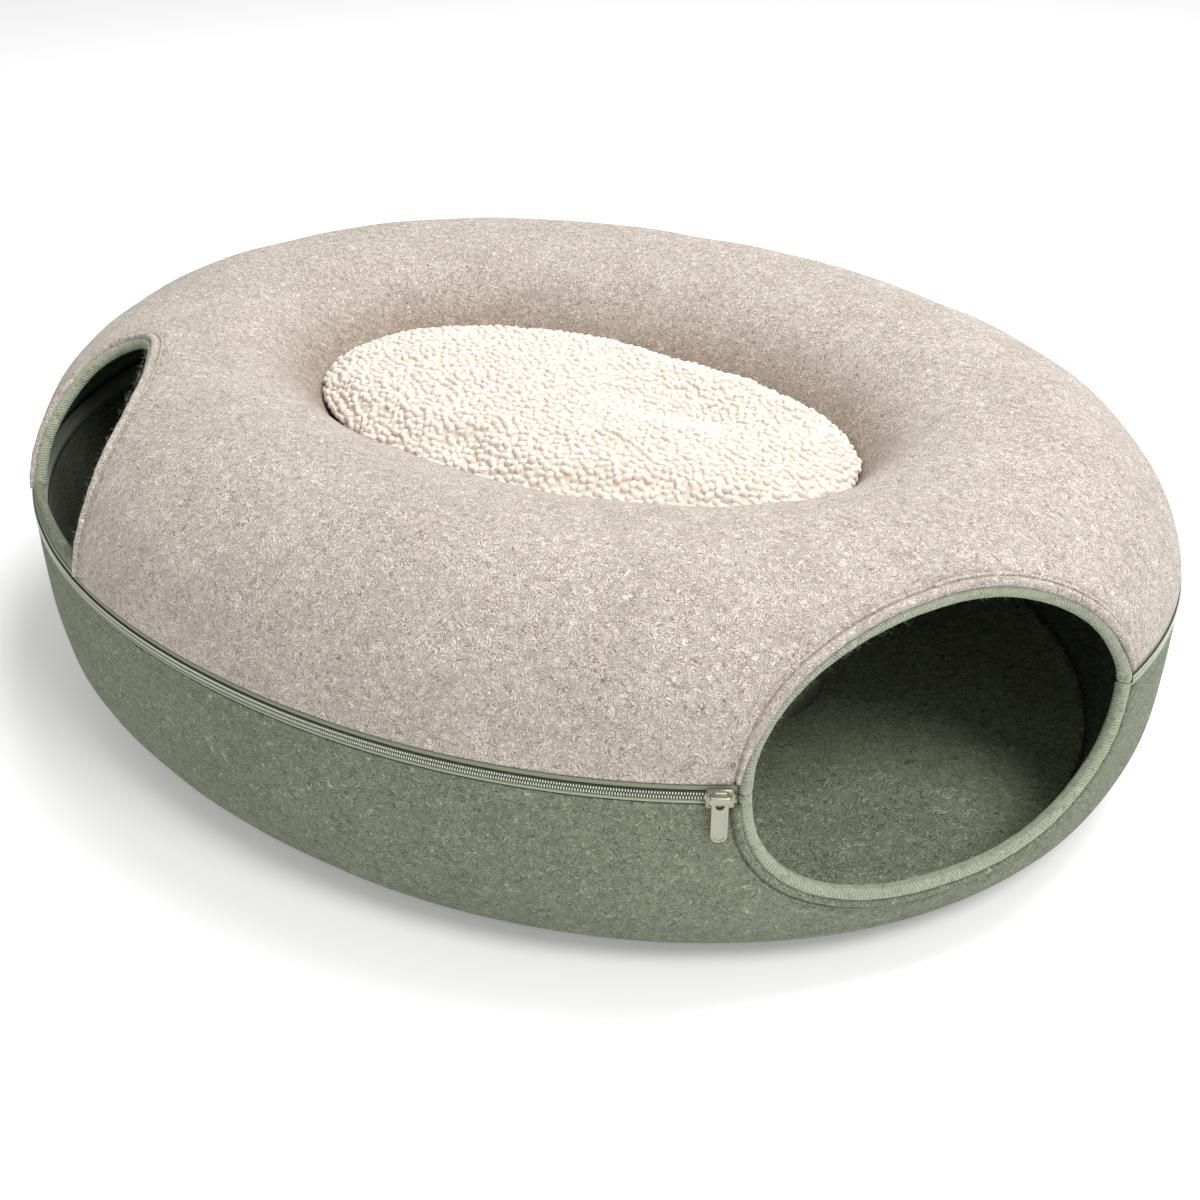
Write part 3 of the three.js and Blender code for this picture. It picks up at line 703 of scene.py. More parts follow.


# The beige felt's last colour is the painted shade low in the well
beige = felt(
    "beige felt", (216, 204, 192), (248, 242, 237), (130, 111, 97), (96, 78, 66), well_shade=(196, 178, 158)
)
green = felt("green felt", (131, 137, 113), (196, 201, 178), (62, 68, 48), (44, 50, 34))
# Painted light: the lining is the green felt made paler, standing in for light that reaches the walls inside
# the mouths
lining_green_painted_light = felt("green lining felt with painted light", (165, 172, 148), (214, 219, 198), (106, 113, 89), (76, 82, 62))
# Painted light: the tunnel floor is the green felt made much paler, standing in for light falling in through
# the mouth
floor_green_painted_light = felt(
    "green floor felt with painted light", (192, 201, 168), (243, 250, 222), (74, 84, 54), (54, 62, 38), fineness=1.2, bump=1.0
)
binding_green = ribbed("green binding", (147, 154, 130), (198, 203, 180), (84, 91, 68))
tape_green = woven_tape("green tape", (128, 135, 114), (166, 172, 150), (88, 95, 74))
bead_green = woven_tape("pale cord", (160, 166, 146), (196, 200, 182), (112, 119, 97))
core_green = grained("dark core", (62, 68, 50), (44, 49, 35), 0.8)
tooth_pale = grained("pale teeth", (226, 228, 214), (200, 204, 186), 0.4)
thread_beige = grained("beige thread", (178, 160, 144), (150, 131, 115), 0.8)
thread_green = grained("green thread", (112, 119, 95), (90, 97, 75), 0.8)
loose_green = grained("loose green fibres", (150, 158, 134), (176, 183, 160), 0.9)
loose_beige = grained("loose beige fibres", (226, 216, 205), (198, 186, 174), 0.9)
metal = grained("satin metal", (158, 158, 141), (140, 141, 124), 0.34, 0.8, 1400.0, 0.35, 0.05)
boucle = grained("cream boucle", (227, 219, 210), (215, 205, 193), 0.95, 0.0, 420.0, 0.6, 0.5, sheen=0.2)
# Painted shade: the cushion under the curls is the cream boucle made darker and warmer, standing in for shade
# between the curls
boucle_ground_painted_shade = grained("boucle ground with painted shade", (214, 202, 186), (198, 184, 166), 0.95, 0.0, 500.0, 0.6, 0.6)


# Camera, with its bearing and height in degrees and its distance and target in metres

azimuth, elevation = math.radians(-51.6016), math.radians(30.8037)
CAMERA_REACH = 1.05
flat_reach = math.cos(elevation)
right = Vector((-math.sin(azimuth), math.cos(azimuth), 0))
back = Vector((math.cos(azimuth) * flat_reach, math.sin(azimuth) * flat_reach, math.sin(elevation)))
target = Vector((0, 0, 0.0259)) + right * 0.01236
camera = bpy.data.objects.new("camera", bpy.data.cameras.new("camera"))
camera.data.lens = 50.528
camera.data.sensor_width = 36
camera.data.clip_start = 0.05
turned = Matrix((right, back.cross(right), back)).transposed().to_4x4()
camera.matrix_world = Matrix.Translation(target + back * CAMERA_REACH) @ turned
bpy.context.scene.collection.objects.link(camera)
bpy.context.scene.camera = camera


# Felt pieces

fineness = 1.0


def fine(count):
    return int(count * fineness)


def spaced(first, last, step):
    return np.linspace(first, last, max(2, int(abs(last - first) / step * fineness) + 1))


# Each hem's section, as distances off the mouth's line and heights over the felt. The arches'
# hems lap over their binding, and the lower curve's hem stands beside it as a ridge.
ARCH_CUT = 6.3
ARCH_SEAM = 5.2
ARCH_FOLD = [(1.1, -3.0), (0.3, -1.7), (0.1, -0.4), (0.5, 0.7), (1.4, 1.35), (2.6, 1.6), (3.7, 1.35)]
ARCH_FOOT = [(5.6, -0.5), (5.9, 0.0), (6.4, 0.05), (7.2, 0.05), (7.8, -0.12), (8.0, -0.5)]
ARCH_HEM = ARCH_FOLD + [(4.4, 0.6), (4.8, -0.45), (ARCH_SEAM, -1.3)] + ARCH_FOOT
CURVE_CUT = 8.0
CURVE_SEAM = 6.9
CURVE_FOLD = [(2.6, -0.6), (2.0, 0.3), (2.15, 1.15), (2.9, 1.75), (4.0, 1.95), (5.2, 1.6), (6.0, 0.7)]
CURVE_FOOT = [(7.3, -0.45), (7.6, 0.0), (8.1, 0.05), (8.8, 0.05), (9.4, -0.12), (9.6, -0.5)]
CURVE_HEM = CURVE_FOLD + [(6.5, -0.4), (CURVE_SEAM, -1.2)] + CURVE_FOOT
HEM_WAVES = ((0.12, 0.45, 0.0), (0.08, 1.1, 0.7))
SEAM_DEPTH = 0.95

# One stitch as distances along it, heights over the cloth and half its thickness
STITCH = [(-1.25, -0.35, 0.12), (-0.7, 0.1, 0.24), (0.0, 0.2, 0.27), (0.7, 0.1, 0.24), (1.25, -0.35, 0.12)]
STITCH_SIDES = 5
STITCH_PITCH = 4


def smooth(share):
    share = np.clip(share, 0, 1)
    return share * share * (3 - 2 * share)


def ripple(length, waves):
    """Small waves along a line, each with its height, its pace and its start."""
    return sum(high * np.sin(length * pace + start) for high, pace, start in waves)


def hem(name, line, edge, side, profile, seam, end_width, material):
    """The folded hem along a mouth, with the sunk seam beside it, narrowed at its ends."""
    start = profile[1][0]
    step = 2.0 / fineness
    line = even(beyond(widened(line, side * start), edge), step)
    length = np.arange(len(line)) * step
    from_end = np.minimum(length, length[-1] - length)
    width = end_width + (1 - end_width) * smooth(from_end / 30)
    rows, drum = [], []
    for distance, rise in profile:
        off = np.where(distance < seam, seam - (seam - distance) * width, distance)
        moved = widened(line, side * (off - start))
        wander = ripple(length, HEM_WAVES) * (rise > 0.4)
        rows.append(cloth(moved[:, 0], moved[:, 1], -(rise + wander)))
        drum.append(on_drum(moved[:, 0], moved[:, 1]))
    count = len(line)
    faces = loop_faces(len(rows), count)
    faces.append([r * count for r in range(len(rows))])
    faces.append([(r + 1) * count - 1 for r in range(len(rows))])
    piece = new_piece(name, np.vstack(rows), faces, material, np.vstack(drum))
    face_outwards(piece)
    return piece


def stitches(name, line, depth, material):
    """Short threads along a line in the cloth, each sunk at its ends."""
    at, outward, aside = frames_of(even(line, 1.0), depth)
    course = unit(np.gradient(at, axis=0))
    points, faces = [], []
    for middle in range(3, len(at) - 3, STITCH_PITCH):
        faces += capped_faces(len(points), len(STITCH), STITCH_SIDES)
        for ahead, rise, thick in STITCH:
            for i in range(STITCH_SIDES):
                turn = 2 * math.pi * i / STITCH_SIDES
                points.append(
                    at[middle]
                    + course[middle] * ahead
                    + outward[middle] * (rise + thick * math.sin(turn))
                    + aside[middle] * (thick * math.cos(turn))
                )
    piece = new_piece(name, points, faces, material)
    face_outwards(piece)
    return piece


UPPER_ROWS = [UPPER_EDGE, UPPER_EDGE + 0.7, UPPER_EDGE + 2]
upper_alongs = np.concatenate([UPPER_ROWS, spaced(UPPER_EDGE + 5, 300, 3.6), spaced(306, WELL_FOOT_ALONG, 9)])
shell = felt_sheet("shell", fine(460), upper_alongs, mouth_cuts(ARCH_CUT), 0.0, SHELL_CLOTH, beige)
hems = [
    hem("right_arch_hem", right_arch, UPPER_EDGE + 0.1, 1, ARCH_HEM, ARCH_SEAM, 0.55, beige),
    hem("left_arch_hem", left_arch, UPPER_EDGE + 0.1, 1, ARCH_HEM, ARCH_SEAM, 1.0, beige),
]
shell = joined("felt_shell", [shell] + hems)
arch_stitches = [
    stitches(name, beyond(widened(line, ARCH_SEAM), UPPER_EDGE + 2), SEAM_DEPTH, thread_beige)
    for name, line in (("right_stitches", right_arch), ("left_stitches", left_arch))
]
arch_stitches = joined("arch_stitches", arch_stitches)

lining_alongs = np.concatenate([spaced(LINING_EDGE, 300, 5.2), spaced(308, WELL_FOOT_ALONG, 10)])
LINING_FACES = (SHELL_CLOTH + GAP, SHELL_CLOTH + GAP + LINING_CLOTH)
lining = felt_sheet(
    "felt_lining", fine(380), lining_alongs, mouth_cuts(CUT_ASIDE), *LINING_FACES, lining_green_painted_light
)

LOWER_ROWS = [-LOWER_EDGE, -LOWER_EDGE + 0.7, -LOWER_EDGE + 2]
bowl_sides = [LOWER_ROWS, spaced(-LOWER_EDGE + 5, FOOT_ALONG, 3.6)]
bowl_alongs = -np.concatenate(bowl_sides + [spaced(FOOT_ALONG + 12, FOOT_ALONG + 196, 14)])
bowl_cut = [closed_cut(right_curve, -CURVE_CUT, 6)]
bowl = felt_sheet("bowl", fine(460), bowl_alongs[::-1], bowl_cut, 0.0, BOWL_CLOTH, green, form=base)
curve_hem = hem("curve_hem", right_curve, LOWER_EDGE - 0.1, -1, CURVE_HEM, CURVE_SEAM, 1.0, green)
bowl = joined("felt_bowl", [bowl, curve_hem])
curve_seam = beyond(widened(right_curve, -CURVE_SEAM), LOWER_EDGE - 2)
tape_seam = np.stack([np.linspace(0.9, 319, 400), np.full(400, LOWER_EDGE - 8.5)], -1)
green_stitches = [
    stitches("curve_stitches", curve_seam, SEAM_DEPTH, thread_green),
    stitches("tape_stitches", tape_seam, 0.12, thread_green),
]
green_stitches = joined("green_stitches", green_stitches)

floor_alongs = -np.concatenate([spaced(122, FOOT_ALONG, 4), spaced(FOOT_ALONG + 8, FOOT_ALONG + 196, 9)])
floor_panel = felt_sheet(
    "tunnel_floor", fine(300), floor_alongs[::-1], [], BOWL_CLOTH + GAP, FLOOR_TOP, floor_green_painted_light, form=base
)


# Zip

# The bed's mean reach at the zip line, and about how far one degree is round it there
ZIP_REACH = 325
ZIP_DEGREE = 5.7


def around(first, last, step):
    return np.linspace(first, last, max(2, int((last - first) * ZIP_DEGREE / step * fineness) + 1))


def carried_round(name, first, last, section, material, step=5.0):
    """A section of [depth, along] points carried round the bed, closed at both ends."""
    turns = around(first, last, step)
    section = np.asarray(section, float)
    sides = len(section)
    rings = cloth(turns[:, None], section[None, :, 1], section[None, :, 0])
    faces = capped_faces(0, len(turns), sides)
    depth, along = np.tile(section, (len(turns), 1)).T
    pattern = np.stack([np.repeat(np.radians(turns) * ZIP_REACH, sides), along, depth], -1)
    piece = new_piece(name, rings.reshape(-1, 3), faces, material, pattern)
    face_outwards(piece)
    return piece


upper_back = SHELL_CLOTH + GAP
tape_back = TAPE_FRONT + TAPE_CLOTH
upper_tape = carried_round(
    "zip_tape_above",
    ZIP_START,
    TAPE_END,
    [
        (TAPE_FRONT + 0.25, CHAIN_HALF + GAP),
        (TAPE_FRONT, CHAIN_HALF + GAP + 0.35),
        (TAPE_FRONT - 0.12, CHAIN_HALF + GAP + 1.2),
        (TAPE_FRONT, TAPE_TOP - 0.5),
        (TAPE_FRONT + 0.3, TAPE_TOP - 0.05),
        (upper_back, TAPE_TOP + GAP),
        (upper_back, LINING_EDGE - GAP),
        (upper_back + TAPE_CLOTH, LINING_EDGE - GAP),
        (upper_back + TAPE_CLOTH, TAPE_TOP - TAPE_CLOTH),
        (tape_back, TAPE_TOP - TAPE_CLOTH),
        (tape_back, CHAIN_HALF + GAP),
    ],
    tape_green,
)
lower_back = BOWL_CLOTH + GAP
lower_tape = carried_round(
    "zip_tape_below",
    ZIP_START,
    TAPE_END,
    [
        (tape_back, -CHAIN_HALF - GAP),
        (TAPE_FRONT, -CHAIN_HALF - GAP),
        (0.1, -CHAIN_HALF - 0.5),
        (-0.35, -CHAIN_HALF - 0.75),
        (-0.55, -CHAIN_HALF - 1.05),
        (-0.55, -CHAIN_HALF - 1.35),
        (-0.35, -CHAIN_HALF - 1.65),
        (0.1, -CHAIN_HALF - 1.9),
        (TAPE_FRONT, TAPE_FOOT),
        (lower_back, TAPE_FOOT),
        (lower_back, LOWER_EDGE - TAPE_HIDDEN),
        (lower_back + TAPE_CLOTH, LOWER_EDGE - TAPE_HIDDEN),
        (lower_back + TAPE_CLOTH, TAPE_FOOT + TAPE_CLOTH),
        (tape_back, TAPE_FOOT + TAPE_CLOTH),
    ],
    bead_green,
)
chain_core = carried_round(
    "zip_core",
    ZIP_START,
    CHAIN_END,
    [
        (0.15, -CHAIN_HALF + 0.1),
        (-0.05, -CHAIN_HALF + 0.5),
        (-0.05, CHAIN_HALF - 0.5),
        (0.15, CHAIN_HALF - 0.1),
        (tape_back, CHAIN_HALF),
        (tape_back, -CHAIN_HALF),
    ],
    core_green,
)

# One tooth: a knob over the tape's edge and a neck that reaches the middle, as [zip, along, out]
TOOTH_NECK = [(0.21, 0.2, 0.1), (0.30, 0.88, 0.4)]
TOOTH_RINGS = TOOTH_NECK + [(0.38, 1.25, 0.86), (0.34, 1.58, 0.62), (0.16, 1.74, 0.24)]
TOOTH_SIDES = 5
TOOTH_PITCH = 1.3 * 1
# How far a tooth's back stands out from the bed's widest line
TOOTH_BACK = -0.01


def teeth():
    """Two rows of teeth, the lower row half a step along from the upper one."""
    count = int(math.radians(CHAIN_END - ZIP_START) * ZIP_REACH / TOOTH_PITCH)
    turns = np.linspace(ZIP_START + 0.1, CHAIN_END - 0.1, count)
    upright = np.array([0, 0, 1.0])
    points, faces = [], []
    for side, shift in ((1, 0.0), (-1, (turns[1] - turns[0]) / 2)):
        at = cloth(turns + shift, 0.0, 0.0)
        normal = np.pad(outline(turns + shift)[1], ((0, 0), (0, 1)))
        course = np.cross(upright, normal)
        for wide, along, out in TOOTH_RINGS:
            for a in 2 * math.pi * np.arange(TOOTH_SIDES) / TOOTH_SIDES:
                proud = TOOTH_BACK + out * 0.5 * (1 + math.sin(a))
                points.append(at + course * (wide * math.cos(a)) + normal * proud + upright * side * along)
    stack = np.array(points).reshape(2, len(TOOTH_RINGS), TOOTH_SIDES, count, 3)
    stack = stack.transpose(0, 3, 1, 2, 4).reshape(-1, 3)
    one = capped_faces(0, len(TOOTH_RINGS), TOOTH_SIDES)
    for tooth in range(2 * count):
        first = tooth * len(TOOTH_RINGS) * TOOTH_SIDES
        for face in one:
            moved = [first + i for i in face]
            faces.append(moved[::-1] if tooth >= count else moved)
    return new_piece("zip_teeth", stack, faces, tooth_pale)


chain = joined("zip_chain_teeth", [chain_core, teeth()])


# Bindings

BINDING_TUCK = 2.0
BINDING_CLOTH = 1.2
BINDING_WAVES = ((0.014, 0.55, 0.0), (0.012, 0.23, 1.7))


def binding(name, line, limit, tucked):
    """A ribbed tube of cloth that wraps the edge of a mouth, a little uneven along its length.
    A tucked one runs in under the hem, away from those of its ends that meet another."""
    step = 1.4 / fineness
    line = even(beyond(line, limit), step)
    length = np.arange(len(line)) * step
    from_end = np.minimum(length, length[-1] - length)
    tuck = BINDING_TUCK * tucked(from_end)
    flat, outward, aside = frames_of(line, BINDING_DEPTH)
    at = flat - outward * tuck[:, None] - aside * (0.2 * tuck)[:, None]
    size = (1 + ripple(length, BINDING_WAVES)) * (1 - 0.16 * np.clip(1 - from_end / 2.2, 0, 1) ** 2)
    section = oval(BINDING_WIDTH - 0.4, BINDING_HEIGHT - 0.6, 18)
    wide = size * (1 - 0.8 * tuck / BINDING_WIDTH)
    high = size * (1 - 0.5 * tuck / BINDING_HEIGHT)
    piece = tube(name, at, outward, aside, section, binding_green, wide, high, BINDING_CLOTH)
    level_ends(piece, limit)
    return piece


def level_ends(piece, level):
    """Keeps a tube on its own side of the level where its ends are cut."""
    height = (ZIP_HEIGHT + level) * MM
    for vertex in piece.data.vertices:
        if (vertex.co.z - height) * level < 0:
            vertex.co.z = height


binding_upper = binding("mouth_binding_above", right_arch, GAP / 2, lambda from_end: smooth(from_end / 22))
binding_lower = binding("mouth_binding_below", right_curve, -GAP / 2, np.zeros_like)
binding_left = binding("mouth_binding_left", left_arch, UPPER_EDGE + GAP, np.ones_like)


def loose_fibres(name, line, material, count, seed):
    """Fine fibres that stand off the edge of a mouth, each bent its own way."""
    random = np.random.default_rng(seed)
    at, outward, aside = frames_of(even(line, 1.0), BINDING_DEPTH)
    course = unit(np.gradient(at, axis=0))
    points, faces = [], []
    rings, sides = 5, 3
    for _ in range(count):
        k = random.integers(2, len(at) - 2)
        round_at = random.uniform(-1.3, 1.9)
        lean = outward[k] * math.cos(round_at) - aside[k] * math.sin(round_at)
        place_at = at[k] + lean * random.uniform(3.0, 3.7)
        way = unit(lean * 0.8 + course[k] * random.normal(0, 0.9) + random.normal(0, 0.35, 3))
        bend = random.normal(0, 0.42, 3)
        step = random.uniform(0.3, 0.95)
        thick = random.uniform(0.05, 0.085)
        faces += capped_faces(len(points), rings, sides)
        for ring in range(rings):
            side = unit(np.cross(way, [0.3, 0.5, 0.81]))
            other = np.cross(way, side)
            for i in range(sides):
                turn = 2 * math.pi * i / sides
                round_way = side * math.cos(turn) + other * math.sin(turn)
                points.append(place_at + round_way * thick * (1 - 0.17 * ring))
            place_at = place_at + way * step
            way = unit(way + bend)
    piece = new_piece(name, points, faces, material)
    face_outwards(piece)
    return piece


mouth_fibres = joined(
    "mouth_fibres",
    [
        loose_fibres("right_fibres", beyond(right_arch, 4), loose_green, 420, 3),
        loose_fibres("left_fibres", beyond(left_arch, 14), loose_green, 420, 5),
        loose_fibres("right_beige_fibres", beyond(widened(right_arch, 3), 6), loose_beige, 160, 8),
        loose_fibres("left_beige_fibres", beyond(widened(left_arch, 3), 14), loose_beige, 160, 9),
    ],
)

left_feet = left_arch[[0, -1], 0]
sill_fold = LINING_EDGE - GAP + 0.5
sill = carried_round(
    "left_sill",
    left_feet[1] + 0.3,
    left_feet[0] - 0.3,
    [
        (0.9, UPPER_EDGE + GAP),
        (0.6, UPPER_EDGE + GAP + 0.5),
        (0.45, UPPER_EDGE + 3.6),
        (0.6, SILL_TOP - 1.6),
        (1.1, SILL_TOP - 0.6),
        (1.9, SILL_TOP - 0.1),
        (3.2, SILL_TOP + 0.1),
        (4.6, SILL_TOP),
        (5.4, SILL_TOP - 0.6),
        (5.6, SILL_TOP - 1.2),
        (5.6, sill_fold),
        (SHELL_CLOTH, sill_fold),
        (SHELL_CLOTH, UPPER_EDGE + GAP),
    ],
    green,
    step=3.0,
)


# Slider and pull tab, from copies of their solids


def copy_of(node, name, outwards=True):
    """A copy of a solid with its doubled points merged, picked out for the next operators."""
    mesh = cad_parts[node].data.copy()
    piece = bpy.data.objects.new(name, mesh)
    bpy.context.scene.collection.objects.link(piece)
    shape = bmesh.new()
    shape.from_mesh(mesh)
    bmesh.ops.remove_doubles(shape, verts=shape.verts, dist=1e-6)
    if outwards:
        bmesh.ops.recalc_face_normals(shape, faces=shape.faces)
    shape.to_mesh(mesh)
    shape.free()
    pick(piece)
    return piece


def made_of(piece, material):
    piece.data.materials.clear()
    piece.data.materials.append(material)


def select_in(kind, parts, chosen):
    """Selects in edit mode the faces or vertices of the active piece that a test chooses."""
    bpy.ops.object.mode_set(mode="EDIT")
    bpy.ops.mesh.select_mode(type=kind)
    bpy.ops.mesh.select_all(action="DESELECT")
    bpy.ops.object.mode_set(mode="OBJECT")
    for part in parts:
        part.select = chosen(part)
    bpy.ops.object.mode_set(mode="EDIT")


def rounded(piece, bevel):
    pick(piece)
    modifier = piece.modifiers.new("rounded", "BEVEL")
    modifier.width = bevel * MM
    modifier.segments = 3
    modifier.limit_method = "ANGLE"
    modifier.angle_limit = math.radians(28)
    bpy.ops.object.modifier_apply(modifier="rounded")
    bpy.ops.object.shade_smooth_by_angle(angle=math.radians(40))


SLIDER_RIM = 0.5
SLIDER_SUNK = 0.25
SLIDER_EDGE = 0.18
TAB_WIDTH = 7.4
TAB_EDGE = 0.15
TAB_RIM = 1.0
TAB_FOOT = -22.3
TAB_PANEL_TOP = -5.4
TAB_PANEL_DEPTH = 0.35
slider_front = Vector((*outline(np.array(SLIDER_TURN))[1], 0))
slider_along = Vector((0, 0, 1)).cross(slider_front)


def sunk_panel(piece, wide, low, high, depth):
    """Sinks a round-ended panel into the piece's front, low and high over the zip line."""
    corners = [vertex.co for vertex in piece.data.vertices]
    along = [corner_at @ slider_along for corner_at in corners]
    front = max(corner_at @ slider_front for corner_at in corners)
    bpy.ops.mesh.primitive_cylinder_add(vertices=32, radius=wide / 2 * MM, depth=2 * depth * MM)
    cutter = bpy.context.active_object
    select_in("VERT", cutter.data.vertices, lambda vertex: vertex.co.y > 1e-6)
    bpy.ops.transform.translate(value=(0, (high - low - wide) * MM, 0))
    bpy.ops.object.mode_set(mode="OBJECT")
    place_at = slider_along * (min(along) + max(along)) / 2 + slider_front * front
    place_at.z = (ZIP_HEIGHT + low + wide / 2) * MM
    turned = Matrix((slider_along, (0, 0, 1), slider_front)).transposed().to_4x4()
    cutter.data.transform(Matrix.Translation(place_at) @ turned)
    pick(piece)
    cut = piece.modifiers.new("panel", "BOOLEAN")
    cut.operation = "DIFFERENCE"
    cut.solver = "EXACT"
    cut.object = cutter
    bpy.ops.object.modifier_apply(modifier="panel")
    bpy.data.objects.remove(cutter)


slider = copy_of("zip_slider", "slider_body")
made_of(slider, metal)
select_in("FACE", slider.data.polygons, lambda face: face.normal @ slider_front > 0.98)
bpy.ops.mesh.inset(thickness=SLIDER_RIM * MM, depth=-SLIDER_SUNK * MM, use_even_offset=True)
bpy.ops.object.mode_set(mode="OBJECT")
rounded(slider, SLIDER_EDGE)
tab = copy_of("pull_tab", "slider_tab")
made_of(tab, metal)
sunk_panel(tab, TAB_WIDTH - 2 * TAB_RIM, TAB_FOOT + TAB_RIM, TAB_PANEL_TOP, TAB_PANEL_DEPTH)
rounded(tab, TAB_EDGE)


# Cushion

# Lengths in metres. The cushion starts a little smaller than its solid, by these shares of its
# width, depth and height. The simulation may draw it in by the first length and swell it by the
# second, and by as much as the third more where it faces up. Its top then flares over the rim.
CUSHION_SHARES = (0.988, 0.978, 0.985)
CUSHION_VOXEL = 0.006
SHRINKS_BY = 0.001
SIDES_SWELL_BY = 0.0008
TOP_SWELLS_BY = 0.0045
FLARES_FROM = 0.14
FLARES_OVER = 0.016
FLARES_BY = (0.05, 0.036)

# The middle of the dent where a cat has lain and the way that it runs, and how deep, long and
# wide it is. The swelling stands in front of it.
DENT_AT = (0.048, 0.024)
DENT_WAY = (0.784, 0.621)
DENT = (0.004, 0.052, 0.024)
SWELLING = (0.002, 0.06, 0.018)
SWELLING_AHEAD = 0.042


def mound(along, aside, high, long, wide):
    return high * np.exp(-((along / long) ** 2) - (aside / wide) ** 2)


def pressed(at):
    """How far the cushion is dented where a cat has lain, and raised in front of the dent."""
    x, y = at[:, 0] - DENT_AT[0], at[:, 1] - DENT_AT[1]
    along = x * DENT_WAY[0] + y * DENT_WAY[1]
    aside = y * DENT_WAY[0] - x * DENT_WAY[1]
    return mound(along, aside, *DENT) - mound(along, aside + SWELLING_AHEAD, *SWELLING)


def filled(piece):
    """Where a cloth simulation moves the points of a closed cover that is under pressure."""
    puff = piece.modifiers.new("filling", "CLOTH")
    puff.settings.use_pressure = True
    puff.settings.uniform_pressure_force = 4
    puff.settings.effector_weights.gravity = 0
    puff.settings.quality = 4
    for number in range(1, 21):
        bpy.context.scene.frame_set(number)
    blown = piece.evaluated_get(bpy.context.evaluated_depsgraph_get())
    points = np.array([vertex.co[:] for vertex in blown.to_mesh().vertices])
    blown.to_mesh_clear()
    piece.modifiers.remove(puff)
    bpy.context.scene.frame_set(1)
    return points


def cushion_surface():
    """The cushion's solid, a little smaller, blown up like a filled cover."""
    piece = copy_of("well_cushion", "boucle_cushion", outwards=False)
    mesh = piece.data
    low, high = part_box("well_cushion")
    middle = (low + high) / 2
    still = (middle.x, middle.y, low.z)
    for vertex in mesh.vertices:
        for i, share in enumerate(CUSHION_SHARES):
            vertex.co[i] = still[i] + (vertex.co[i] - still[i]) * share
    remesh = piece.modifiers.new("even", "REMESH")
    remesh.mode = "VOXEL"
    remesh.voxel_size = CUSHION_VOXEL
    bpy.ops.object.modifier_apply(modifier="even")
    made_of(piece, boucle_ground_painted_shade)
    start = np.array([vertex.co[:] for vertex in mesh.vertices])
    end = filled(piece)
    ways = np.array([vertex.normal[:] for vertex in mesh.vertices])
    most = SIDES_SWELL_BY + TOP_SWELLS_BY * np.clip(ways[:, 2], 0, 1)
    move = np.clip(((end - start) * ways).sum(1), -SHRINKS_BY, most)
    end = start + ways * move[:, None]
    flare = smooth((end[:, 2] - FLARES_FROM) / FLARES_OVER)
    for i, by in enumerate(FLARES_BY):
        end[:, i] = middle[i] + (end[:, i] - middle[i]) * (1 + by * flare)
    end[:, 2] -= pressed(end) * (ways[:, 2] > 0)
    mesh.vertices.foreach_set("co", end.astype(np.float32).ravel())
    soft = piece.modifiers.new("soft", "SUBSURF")
    soft.levels = 1
    soft.render_levels = 1
    bpy.ops.object.modifier_apply(modifier="soft")
    mesh.shade_smooth()
    return piece


cushion = cushion_surface()

# Curls of yarn: how far each kind bends, how thick and how long it is, and where they stand
CURL_KINDS = ((0.6, 2.4, 3.8), (1.5, 2.25, 4.8), (2.4, 2.1, 5.4), (0.3, 2.55, 3.0))
CURL_SIDES = 7
CURL_RINGS = 5
CURL_POINTS = CURL_SIDES * CURL_RINGS
CURLS_FROM = 0.132
CURLS_TRIED = 60000
CURL_SPACING = 0.0037


def curl(bend, thick, length):
    """A short bent piece of yarn: rings round it and a point at each end."""
    reach = length / bend
    points, tips = [], []
    for share in np.linspace(0, 1, CURL_RINGS):
        turn = (share - 0.5) * bend
        radius = thick * (0.62 + 0.38 * math.sin(math.pi * share))
        centre = np.array([reach * math.sin(turn), reach * (1 - math.cos(turn)), 0])
        way = np.array([math.cos(turn), math.sin(turn), 0])
        side = np.array([-way[1], way[0], 0])
        for i in range(CURL_SIDES):
            a = 2 * math.pi * i / CURL_SIDES
            points.append(centre + side * radius * math.cos(a) + np.array([0, 0, radius * math.sin(a)]))
        tips.append(centre + way * radius * (0.75 if share > 0.5 else -0.75))
    points = np.array(points + [tips[0], tips[-1]])
    return points - points.mean(0)


def curl_faces(first):
    """The faces of one curl, from the index of its first point."""
    faces = ring_faces(first, CURL_RINGS, CURL_SIDES)
    last = first + CURL_POINTS - CURL_SIDES
    for i in range(CURL_SIDES):
        n = (i + 1) % CURL_SIDES
        faces.append([first + CURL_POINTS, first + n, first + i])
        faces.append([first + CURL_POINTS + 1, last + i, last + n])
    return faces


